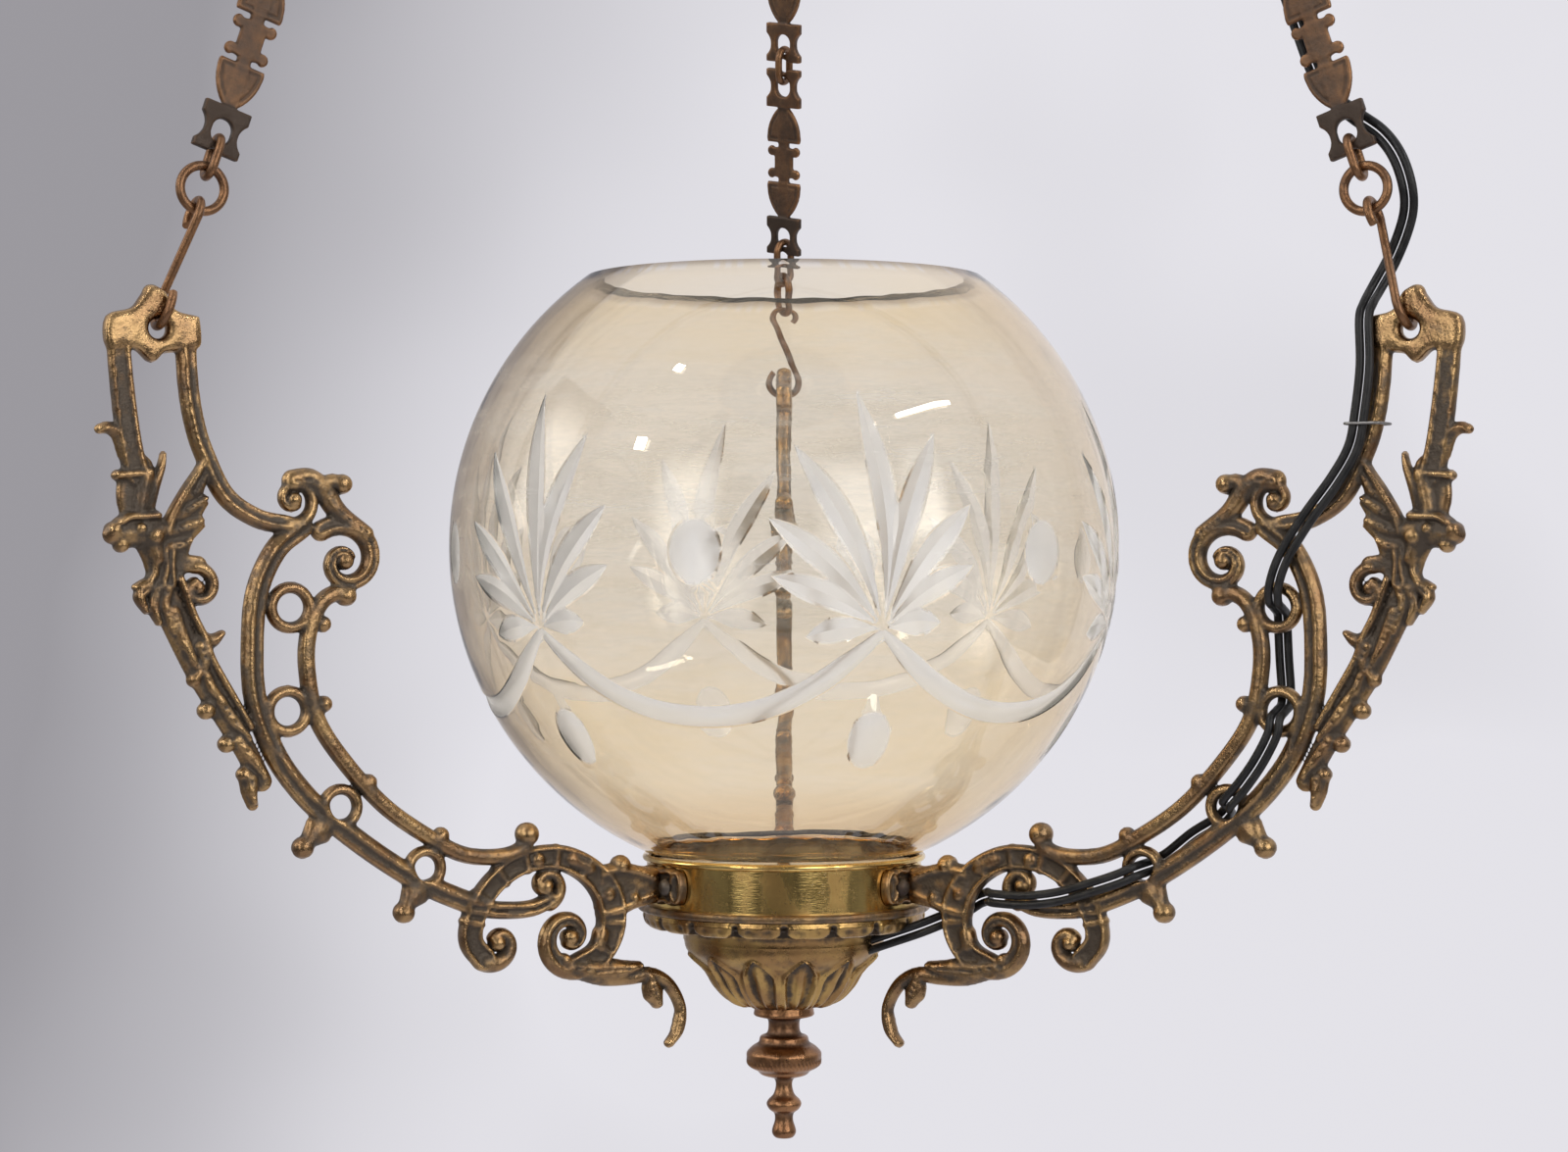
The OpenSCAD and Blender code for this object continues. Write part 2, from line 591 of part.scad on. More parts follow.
// One arm: a flat openwork casting with raised middle, bosses, and a bracket round the band
module arm(az) {
    color("darkgoldenrod") at_arm(az) difference() {
        union() {
            translate([arm_shift, 0, 0]) {
                standing(arm_edge_t) arm_outline();
                standing(arm_t) arm_ribs();
                for (b = arm_bosses) translate([b[0], 0, b[1]]) sphere(r = b[2]);
                translate([258.6, 0, 14.6]) sphere(r = 6.4);
                translate([251.5, 0, 17]) sphere(r = 6.6);
            }
            bracket_wings();
        }
        translate([hook_hole_x + arm_shift, 0, hook_hole_z]) rotate([90, 0, 0])
            cylinder(h = 20, d = hook_hole_d, center = true);
        for (s = [-1, 1]) rotate([0, 0, s * screw_angle])
            translate([band_r - 4, 0, wing_z]) rotate([0, 90, 0])
                cylinder(h = 12, d = arm_screw_d + 0.3);
    }
}

// The two wings of an arm's bracket, bent round the band, with a rib at each end
module bracket_wings() {
    r0 = band_r + fit_gap;
    rotate([0, 0, -wing_angle]) rotate_extrude(angle = 2 * wing_angle)
        translate([r0, wing_z - wing_h / 2]) square([wing_t, wing_h]);
    for (s = [-1, 1]) rotate([0, 0, s * (wing_angle - 1)])
        translate([r0 + wing_t - 0.6, 0, wing_z - wing_h / 2 + 0.8])
            cylinder(h = wing_h - 1.6, r = 2);
}

module left_arm() {
    arm(left_az);
}

module right_arm() {
    arm(right_az);
}

module rear_arm() {
    arm(rear_az);
}

// The six round-head screws through the brackets into the band
module arm_screws() {
    head_r = arm_screw_head_d / 2;
    seat_r = band_r + fit_gap + wing_t + 0.05;
    color("dimgray") for (az = [left_az, right_az, rear_az], s = [-1, 1])
        at_arm(az) rotate([0, 0, s * screw_angle]) translate([0, 0, wing_z]) rotate([0, 90, 0]) {
            translate([0, 0, band_r - band_wall]) cylinder(h = seat_r - band_r + 2, d = arm_screw_d);
            translate([0, 0, seat_r]) cylinder(h = 1, r = head_r);
            translate([0, 0, seat_r]) intersection() {
                sphere(r = head_r);
                cylinder(h = head_r, r = head_r);
            }
        }
}

// The spun gallery: rolled bead, band, and the shelf on which the globe stands
module gallery_band() {
    color("gold") difference() {
        translate([0, 0, lantern_z]) rotate_extrude() {
            translate([band_r - band_wall, band_low]) square([band_wall, band_h]);
            translate([shell_r + fit_gap, band_low])
                square([band_r - shell_r - fit_gap - band_wall / 2, band_wall]);
            translate([band_r + 0.3, band_top]) circle(r = bead_r, $fn = 32);
        }
        for (az = [left_az, right_az, rear_az], s = [-1, 1])
            at_arm(az) rotate([0, 0, s * screw_angle]) translate([band_r - 5, 0, wing_z])
                rotate([0, 90, 0]) cylinder(h = 10, d = arm_screw_d + 2 * run_gap);
    }
}

// The soft ring under the globe's foot
module globe_seat() {
    color("saddlebrown") translate([0, 0, lantern_z + shelf_top]) difference() {
        cylinder(h = globe_seat_t, r = band_r - band_wall - 0.3);
        translate([0, 0, -1]) cylinder(h = globe_seat_t + 2, r = foot_r - glass_t - 0.5);
    }
}

// The cast flange under the band
module flange_ring() {
    color("darkgoldenrod") translate([0, 0, lantern_z]) rotate_extrude() {
        translate([petal_bore_r, flange_low])
            square([flange_d / 2 - flange_h / 2 - petal_bore_r, flange_h]);
        translate([flange_d / 2 - flange_h / 2, flange_low + flange_h / 2])
            circle(r = flange_h / 2, $fn = 32);
    }
}

// One slanting hole for both wires, one above the other, through the petal ring and the cup
module wire_hole() {
    run = wire_out - wire_in;
    at_arm(right_az) translate(wire_in) rotate([0, atan2(run[0], run[2]), 0])
        linear_extrude(height = norm(run)) {
            for (s = [-1, 1]) translate([s * wire_pitch / 2, 0]) circle(d = wire_hole_d);
            square([wire_pitch, wire_hole_d * 0.8], center = true);
        }
}

// The ring of petals under the flange
module petal_ring() {
    outer = petal_d / 2;
    slope = atan2(petal_h - 2, outer - petal_rim_r);
    color("goldenrod") difference() {
        translate([0, 0, lantern_z]) difference() {
            rotate_extrude() polygon([[petal_bore_r, flange_low], [outer, flange_low],
                [outer, flange_low - 2], [petal_rim_r, petal_low], [petal_bore_r, petal_low]]);
            for (i = [0:petals - 1]) rotate([0, 0, (i + 0.5) * 360 / petals])
                translate([petal_rim_r - 1, 0, petal_low - 1]) rotate([0, 90 - slope, 0])
                    cylinder(h = 30, d = petal_groove_d);
        }
        wire_hole();
    }
}

// Half outline of the cup: radius as a share of its rim, depth as a share of its height
cup_shape = [[1, 0], [0.975, 0.15], [0.9, 0.28], [0.815, 0.4], [0.75, 0.52], [0.675, 0.7],
    [0.53, 0.9], [0.3, 1]];
function cup_point(i, inset) = [cup_shape[i][0] * cup_d / 2 - inset,
    cup_top - cup_shape[i][1] * cup_h + (i == len(cup_shape) - 1 ? inset : inset * 0.4)];

// The hollow cup with its spigot and the grooves between its tongues
module cup() {
    last = len(cup_shape) - 1;
    bore_r = nipple_r + run_gap;
    color("goldenrod") difference() {
        translate([0, 0, lantern_z]) difference() {
            rotate_extrude() polygon(concat(
                [[spigot_r, cup_top], [spigot_r, cup_top + 7], [spigot_r - cup_wall, cup_top + 7],
                [spigot_r - cup_wall, cup_top - cup_wall]],
                [for (i = [1:last]) cup_point(i, cup_wall)],
                [[bore_r, cup_floor], [bore_r, cup_low]],
                [for (i = [last:-1:0]) cup_point(i, 0)]));
            for (i = [0:tongues - 1]) rotate([0, 0, i * 360 / tongues])
                translate([cup_d * 0.39 + 0.5, 0, cup_top - cup_h * 0.45])
                    rotate([0, 180 + 38, 0]) cylinder(h = cup_h * 0.5, d = 1.8);
        }
        wire_hole();
    }
}

// Half outline of the finial: share of its largest radius, share of its depth
finial_shape = [[0.78, 0], [0.78, 0.055], [0.46, 0.08], [0.415, 0.13], [0.46, 0.19], [0.63, 0.22],
    [0.68, 0.265], [0.845, 0.295], [1, 0.33], [1, 0.415], [0.72, 0.47], [0.56, 0.51],
    [0.27, 0.53], [0.22, 0.585], [0.28, 0.65], [0.435, 0.7], [0.465, 0.725], [0.39, 0.765],
    [0.255, 0.79], [0.255, 0.85], [0.32, 0.92], [0.31, 0.965], [0.15, 1]];

// The turned finial that draws the gallery together from below
module finial() {
    top = cup_low - fit_gap;
    color("sienna") translate([0, 0, lantern_z]) difference() {
        rotate_extrude() polygon(concat([[0, top]],
            [for (p = finial_shape) [p[0] * finial_d / 2, top - p[1] * finial_h]],
            [[0, top - finial_h]]));
        translate([0, 0, top - nipple_in_finial - 1])
            cylinder(h = nipple_in_finial + 2, r = nipple_r + run_gap);
    }
}

// The drip pan inside the globe's foot, with a crimped rim
module drip_pan() {
    floor_z = shelf_top;
    inner = shell_r + fit_gap;
    color("slategray") translate([0, 0, lantern_z]) {
        rotate_extrude() polygon([[inner, floor_z], [pan_floor_r, floor_z],
            [pan_rim_r - 1.6, floor_z + pan_h], [pan_rim_r - 1.6 - pan_t, floor_z + pan_h],
            [pan_floor_r - pan_t, floor_z + pan_t], [inner, floor_z + pan_t]]);
        translate([0, 0, floor_z + pan_h - pan_t]) linear_extrude(height = pan_t) difference() {
            polygon([for (a = [0:3:357]) (pan_rim_r - crimp_depth + crimp_depth * cos(a * crimps))
                * [cos(a), sin(a)]]);
            circle(r = pan_rim_r - 1.6 - pan_t / 2);
        }
    }
}

// The ring that clamps the pan and the gallery to the lampholder
module shade_ring() {
    color("ivory") translate([0, 0, lantern_z + shelf_top + pan_t]) difference() {
        cylinder(h = shade_ring_h, r = shade_ring_r);
        translate([0, 0, -1]) cylinder(h = shade_ring_h + 2, r = shell_r + run_gap);
    }
}

// The lampholder's outer shell, with the two holes in which the wires end
module holder_shell() {
    color("goldenrod") difference() {
        translate([0, 0, lantern_z + shell_low]) difference() {
            cylinder(h = shell_len, r = shell_r);
            translate([0, 0, -1]) cylinder(h = shell_len + 2, r = shell_r - shell_wall);
        }
        at_arm(right_az) for (s = [-1, 1]) translate([0, 0, wire_end[2] + s * wire_pitch / 2])
            rotate([0, 90, 0]) cylinder(h = shell_r + 1, d = wire_hole_d);
    }
}

// The lampholder's cap, screwed on the nipple
module holder_cap() {
    color("goldenrod") translate([0, 0, lantern_z + cap_low]) difference() {
        cylinder(h = cap_h, r = shell_r);
        translate([0, 0, 1.5]) cylinder(h = cap_h, r = shell_r - shell_wall);
        translate([0, 0, -1]) cylinder(h = 4, r = nipple_r + run_gap);
    }
}

// The porcelain body inside the shell, with a recess for the middle contact
module holder_insulator() {
    color("ivory") translate([0, 0, lantern_z + shell_low + 0.2]) difference() {
        cylinder(h = insulator_h, r = shell_r - shell_wall - fit_gap);
        translate([0, 0, insulator_h - recess_depth]) cylinder(h = insulator_h, r = sleeve_r + 0.2);
    }
}

// The threaded sleeve that takes the lamp
module holder_sleeve() {
    h = shell_len - insulator_h - 4;
    color("goldenrod") translate([0, 0, lantern_z + shell_low + insulator_h + 0.2]) difference() {
        cylinder(h = h, r = sleeve_r + sleeve_wall);
        translate([0, 0, -1]) cylinder(h = h + 2, r = sleeve_r);
    }
}

// The middle contact of the lampholder
module holder_contact() {
    color("gold") translate([0, 0, lantern_z + shell_low + 0.2 + insulator_h - recess_depth]) {
        cylinder(h = 2, r = 3.5);
        cylinder(h = recess_depth - 0.5, r = 2);
    }
}

// The threaded nipple from the finial up to the lampholder
module nipple() {
    low = cup_low - fit_gap - nipple_in_finial + 0.5;
    color("silver") translate([0, 0, lantern_z + low]) difference() {
        cylinder(h = cap_low + 3 - low, r = nipple_r);
        translate([0, 0, -1]) cylinder(h = cap_low + 5 - low, r = nipple_r - 1.5);
    }
}

// The lock nut inside the cup
module lock_nut() {
    color("silver") translate([0, 0, lantern_z + cup_floor]) difference() {
        cylinder(h = lock_nut_h, r = lock_nut_r, $fn = 6);
        translate([0, 0, -1]) cylinder(h = lock_nut_h + 2, r = nipple_r + run_gap);
    }
}

// Half section of the solid inside a globe of radius r with a foot of radius f; the curve from
// the foot up to the globe keeps its centre, so that the glass has the same thickness there
module globe_section(r, f, low) {
    fillet_r = shoulder_r - f;
    fillet_z = shoulder_z - shoulder_r + foot_r;
    translate([0, globe_z]) circle(r = r, $fn = 180);
    translate([0, low]) square([f, fillet_z - low + 0.85 * fillet_r]);
    difference() {
        translate([f - 1, fillet_z]) square([0.7 * fillet_r + 1, 0.85 * fillet_r]);
        translate([shoulder_r, fillet_z]) circle(r = fillet_r);
    }
}

// The globe: a spherical shell with an open mouth and a straight foot
module globe() {
    color("wheat", 0.5) translate([0, 0, lantern_z]) rotate_extrude() intersection() {
        difference() {
            globe_section(globe_r, foot_r, foot_low);
            globe_section(globe_r - glass_t, foot_r - glass_t, foot_low - 1);
        }
        translate([foot_r - glass_t - 1, foot_low])
            square([globe_r, mouth_z - foot_low]);
    }
}

// A tube of eight sides through a list of points
module tube(p, d) {
    n = len(p);
    sides = 8;
    rings = [for (i = [0:n - 1]) let (
            h = unit(end_point(p, i + 1) - end_point(p, i - 1)),
            u = unit(cross(h, abs(h[1]) > 0.9 ? [1, 0, 0] : [0, 1, 0])),
            w = cross(h, u))
        for (k = [0:sides - 1]) p[i] + d / 2 * (u * cos(k * 360 / sides) + w * sin(k * 360 / sides))];
    faces = concat(
        [[for (k = [0:sides - 1]) k]],
        [for (i = [0:n - 2]) for (k = [0:sides - 1]) let (j = (k + 1) % sides)
            [i * sides + k, (i + 1) * sides + k, (i + 1) * sides + j, i * sides + j]],
        [[for (k = [sides - 1:-1:0]) (n - 1) * sides + k]]);
    polyhedron(points = rings, faces = faces, convexity = 10);
}

// A point of the chain's route, in the arm's own directions
function chain_point(q) = [
    hook_hole_x + arm_shift + q[0] * cos(chain_lean) - (hook_seat + q[2]) * sin(chain_lean), q[1],
    hook_hole_z + q[0] * sin(chain_lean) + (hook_seat + q[2]) * cos(chain_lean)];
// The last stretch up to the connector block, as places in the arm's own directions
block_local = [block_r * cos(60), block_r * sin(60), crown_low_z + 2 - lantern_z];
wire_to_block = [block_local, block_local + [0, 0, -12], block_local + [8, -1, -24],
    block_local + [24, -5, -40]];
wire_route = concat(wire_to_block, [for (q = wire_on_chain) chain_point(q)],
    [for (q = wire_on_arm) [q[0] + arm_shift, q[1], q[2]]],
    [for (t = [0, 0.35, 0.7, 1]) mix(wire_in, wire_out, t)],
    [wire_end + [4.4, 0, 0.7], wire_end]);
// Sideways step from the route to one wire, in the arm's plane, square to the route
function wire_side(i) = let (h = heading([for (q = wire_route) [q[0], q[2]]], i))
    [-h[1], 0, h[0]] * wire_pitch / 2;

module wire_a() {
    color("black") at_arm(right_az)
        tube([for (i = [0:len(wire_route) - 1]) wire_route[i] + wire_side(i)], wire_d);
}

module wire_b() {
    color("black") at_arm(right_az)
        tube([for (i = [0:len(wire_route) - 1]) wire_route[i] - wire_side(i)], wire_d);
}

// The thin wire that ties the two wires to the right arm's inner bar
module wire_tie() {
    half_x = 6.4;
    half_y = 6.6;
    bend = 2;
    color("dimgray") at_arm(right_az) translate([231.2 + arm_shift, -2, 52]) {
        for (q = [[1, 1, 0], [-1, 1, 90], [-1, -1, 180], [1, -1, 270]])
            translate([q[0] * (half_x - bend), q[1] * (half_y - bend), 0])
                wire_arc(bend, 1, q[2], 90);
        for (s = [-1, 1]) {
            wire_bar([-half_x + bend, s * half_y], [half_x - bend, s * half_y], 1);
            wire_bar([s * half_x, -half_y + bend], [s * half_x, half_y - bend], 1);
        }
    }
}

// An S-hook: two opposite bends and the straight wire between them, which is drawn a touch
// thinner than the bends and runs into them
module s_hook(az) {
    c1 = [0, s_low_r];
    c2 = [0, s_hook_len - s_top_r];
    tilt = asin((s_low_r + s_top_r) / (c2[1] - c1[1]));
    p1 = c1 + s_low_r * [-cos(tilt), sin(tilt)];
    p2 = c2 + s_top_r * [cos(tilt), -sin(tilt)];
    reach = 0.4 * [sin(tilt), cos(tilt)];
    color("peru") on_chain(az, 0) rotate([90, 0, 90]) {
        translate(c1) wire_arc(s_low_r, link_wire_d, 180 - tilt, 222 + tilt);
        wire_bar(p1 - reach, p2 + reach, link_wire_d - 0.06);
        translate(c2) wire_arc(s_top_r, link_wire_d, -tilt, 222 + tilt);
    }
}

// A round ring, in the arm's plane
module round_ring(az) {
    color("peru") on_chain(az, ring_low_v + ring_r, 0.34) rotate([90, 0, 0])
        wire_arc(ring_r, ring_wire_d, 0, 360);
}

// An oval link, across the arm's plane, from height v on the chain
module oval_link(az, v, share = 0.8) {
    color("peru") on_chain(az, v + link_half, share) rotate([90, 0, 90]) for (s = [0, 180])
        rotate([0, 0, s]) {
            translate([0, link_straight / 2]) wire_arc(link_r, link_wire_d, 0, 180);
            wire_bar([link_r, -link_straight / 2], [link_r, link_straight / 2], link_wire_d);
        }
}

// The spool-shaped eye of a plate link; its hole starts at height 0
module eye_outline() {
    hole_w = plate_w * 0.43;
    hole_h = 9;
    bridge = 3.3;
    difference() {
        translate([-plate_w / 2, -bridge]) square([plate_w, hole_h + 2 * bridge + 1.4]);
        for (s = [-1, 1]) translate([s * plate_w * 0.72, hole_h / 2]) circle(r = plate_w * 0.36);
        translate([0, -bridge - 1.6]) circle(r = 3);
        translate([-hole_w / 2, hole_w / 2]) square([hole_w, hole_h - hole_w]);
        for (y = [hole_w / 2, hole_h - hole_w / 2]) translate([0, y]) circle(d = hole_w);
    }
}

// The shield next to an eye, and half of the fleuron in the middle
module half_plate() {
    w = plate_w / 2;
    top = plate_len / 2 - 9;
    bow = (w * w + 15.6 * 15.6) / (2 * w);
    intersection() {
        translate([w - bow, top - 2]) circle(r = bow);
        translate([bow - w, top - 2]) circle(r = bow);
        translate([-w, 0]) square([2 * w, top]);
    }
    translate([-2.6, 11]) square([5.2, plate_len / 2 - 11]);
    difference() {
        translate([-w, plate_len / 2 - 7.2]) square([2 * w, 7.3]);
        for (s = [-1, 1]) {
            translate([s * w, plate_len / 2 - 4.2]) circle(r = 2.1, $fn = 20);
            translate([s * w * 0.5, plate_len / 2 - 8]) circle(r = 1.9, $fn = 20);
            translate([s * (w + 1.2), plate_len / 2]) circle(r = 2.4, $fn = 20);
        }
    }
}

// A flat plate link, in the arm's plane, with its lower pulling edge at height v
module plate_link(az, v, share = 1) {
    color("sienna") on_chain(az, v, share) {
        standing(plate_t) for (s = [0, 1]) mirror([0, s])
            translate([0, -plate_len / 2]) half_plate();
        for (s = [0, 1]) mirror([0, 0, s]) translate([0, 0, -plate_len / 2])
            standing(plate_eye_t) eye_outline();
    }
}

function plate_v(i) = plate_low_v - plate_seat + plate_len / 2 + i * plate_pitch;
// The twist dies away over the last plates below the crown
function twist_share(i) = min(1, 0.53 + 0.18 * (plates_per_chain - 1 - i));

// The oval links above the lowest plate
module upper_links(az) {
    for (i = [1:plates_per_chain])
        oval_link(az, plate_low_v + i * plate_pitch - 2 * link_half,
            i == plates_per_chain ? 0.27 : (twist_share(i - 1) + twist_share(i)) / 2);
}

// The plate links above the lowest one
module upper_plates(az) {
    for (i = [1:plates_per_chain - 1]) plate_link(az, plate_v(i), twist_share(i));
}

module left_s_hook() { s_hook(left_az); }
module left_ring() { round_ring(left_az); }
module left_link() { oval_link(left_az, link_low_v); }
module left_plate() { plate_link(left_az, plate_v(0)); }
module left_upper_links() { upper_links(left_az); }
module left_upper_plates() { upper_plates(left_az); }
module right_s_hook() { s_hook(right_az); }
module right_ring() { round_ring(right_az); }
module right_link() { oval_link(right_az, link_low_v); }
module right_plate() { plate_link(right_az, plate_v(0)); }
module right_upper_links() { upper_links(right_az); }
module right_upper_plates() { upper_plates(right_az); }
module rear_s_hook() { s_hook(rear_az); }
module rear_ring() { round_ring(rear_az); }
module rear_link() { oval_link(rear_az, link_low_v); }
module rear_plate() { plate_link(rear_az, plate_v(0)); }
module rear_upper_links() { upper_links(rear_az); }
module rear_upper_plates() { upper_plates(rear_az); }

ceiling_plate();
ceiling_hook();
hanger_ring();
swivel_eye();
swivel_nut();
crown();
connector_block();
connector_screw();
left_arm();
right_arm();
rear_arm();
arm_screws();
gallery_band();
globe_seat();
flange_ring();
petal_ring();
cup();
finial();
drip_pan();
shade_ring();
holder_shell();
holder_cap();
holder_insulator();
holder_sleeve();
holder_contact();
nipple();
lock_nut();
globe();
wire_a();
wire_b();
wire_tie();
left_s_hook();
left_ring();
left_link();
left_plate();
left_upper_links();
left_upper_plates();
right_s_hook();
right_ring();
right_link();
right_plate();
right_upper_links();
right_upper_plates();
rear_s_hook();
rear_ring();
rear_link();
rear_plate();
rear_upper_links();
rear_upper_plates();
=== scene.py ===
"""Antique ceiling lantern: three openwork brass arms, a cut-glass globe and three plate chains.

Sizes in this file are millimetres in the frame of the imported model; heights marked "local" are
measured from the lantern's own level. Meshes are written in metres.
"""
import json
import math

import bmesh
import bpy
import numpy as np
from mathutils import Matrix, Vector
from mathutils.geometry import delaunay_2d_cdt

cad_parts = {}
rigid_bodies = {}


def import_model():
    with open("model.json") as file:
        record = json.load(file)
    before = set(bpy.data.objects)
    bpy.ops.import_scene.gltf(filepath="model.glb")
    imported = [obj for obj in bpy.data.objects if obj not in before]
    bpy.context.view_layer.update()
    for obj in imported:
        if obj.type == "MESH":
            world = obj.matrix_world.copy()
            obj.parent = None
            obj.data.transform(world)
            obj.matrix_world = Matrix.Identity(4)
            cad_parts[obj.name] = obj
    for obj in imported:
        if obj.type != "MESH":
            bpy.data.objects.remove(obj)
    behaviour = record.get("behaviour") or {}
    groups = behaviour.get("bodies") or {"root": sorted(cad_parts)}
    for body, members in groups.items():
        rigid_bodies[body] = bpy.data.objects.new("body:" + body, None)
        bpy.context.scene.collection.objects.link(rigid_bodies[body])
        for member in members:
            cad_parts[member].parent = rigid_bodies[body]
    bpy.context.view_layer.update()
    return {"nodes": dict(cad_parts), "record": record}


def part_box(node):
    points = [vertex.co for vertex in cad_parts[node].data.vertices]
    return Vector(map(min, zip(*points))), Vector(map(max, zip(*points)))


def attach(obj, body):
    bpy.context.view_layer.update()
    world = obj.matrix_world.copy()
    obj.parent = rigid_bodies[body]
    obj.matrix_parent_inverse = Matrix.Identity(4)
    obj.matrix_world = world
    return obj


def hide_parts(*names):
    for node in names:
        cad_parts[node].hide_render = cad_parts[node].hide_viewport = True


bl_info = {
    "name": "Ceiling lantern",
    "version": (1, 0, 0),
    "blender": (4, 5, 0),
    "location": "View3D > Sidebar > Lantern",
    "description": "Builds the looks of an antique ceiling lantern round its packed CAD frame",
    "category": "Add Mesh",
}

for thing in list(bpy.data.objects):
    bpy.data.objects.remove(thing)
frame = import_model()
NODES = frame["nodes"]

MM = 0.001
LEVEL = -826.135
SHIFT = 0.2
AZIMUTH = {"left": 210.0, "right": 330.0, "rear": 90.0}
REAR_TWIST = 58.0
HOOK_HOLE = (246.0, 84.0)
CHAIN_LEAN = math.radians(18.3967)
HOOK_SEAT = 0.935693
PLATE_FOOT = 105.269
PLATE_PITCH = 86.7374
PLATES = 7
GLOBE_R = 126.4
GLOBE_Z = 11.021
MOUTH_R = 75.0
GLASS = 3.5
SHOULDER_Z = -104.5
FOOT_R = 49.8


# ---------------------------------------------------------------- curves and meshes

def curve(points, steps=8):
    """A smooth line through the points: on each stretch the cubic whose slope at a point is half
    the step between that point's neighbours (Catmull-Rom)."""
    p = np.asarray(points, float)
    p = np.vstack([2 * p[0] - p[1], p, 2 * p[-1] - p[-2]])
    t = np.arange(steps) / steps
    a, b, c, d = (p[i:len(p) - 3 + i, None] for i in range(4))
    t = t[None, :, None]
    q = (2 * b + (c - a) * t + (2 * a - 5 * b + 4 * c - d) * t ** 2
         + (3 * b - a - 3 * c + d) * t ** 3) / 2
    return np.vstack([q.reshape(-1, p.shape[1]), p[-2:-1]])


def scroll(eye, r0, r1, a0, a1, steps=48):
    """A scroll round an eye: the angle runs evenly from a0 to a1 while the radius falls from r0
    to r1 as (1 - t) to the power 1.3."""
    t = np.linspace(0, 1, steps + 1)
    a = np.radians(a0 + (a1 - a0) * t)
    r = r1 + (r0 - r1) * (1 - t) ** 1.3
    return np.asarray(eye) + np.column_stack([r * np.cos(a), r * np.sin(a)])


def turn(points, azimuth):
    """Places points (radius, sideways, local height) at an arm's direction in the row frame."""
    a = math.radians(azimuth)
    p = np.asarray(points, float)
    return np.column_stack([p[:, 0] * math.cos(a) - p[:, 1] * math.sin(a),
                            p[:, 0] * math.sin(a) + p[:, 1] * math.cos(a), p[:, 2] + LEVEL])


def quads(rows, columns, wrap_rows=False, wrap_columns=False):
    """The faces of a grid of points that is stored row by row, with its ends joined if wrapped."""
    i = np.arange(rows if wrap_rows else rows - 1)[:, None]
    j = np.arange(columns if wrap_columns else columns - 1)[None, :]
    i2, j2 = (i + 1) % rows, (j + 1) % columns
    return np.stack([i * columns + j, i * columns + j2, i2 * columns + j2, i2 * columns + j],
                    axis=-1).reshape(-1, 4)


def step_to_next(outline):
    """The steps between the points of a closed outline."""
    return np.roll(outline, -1, 0) - outline


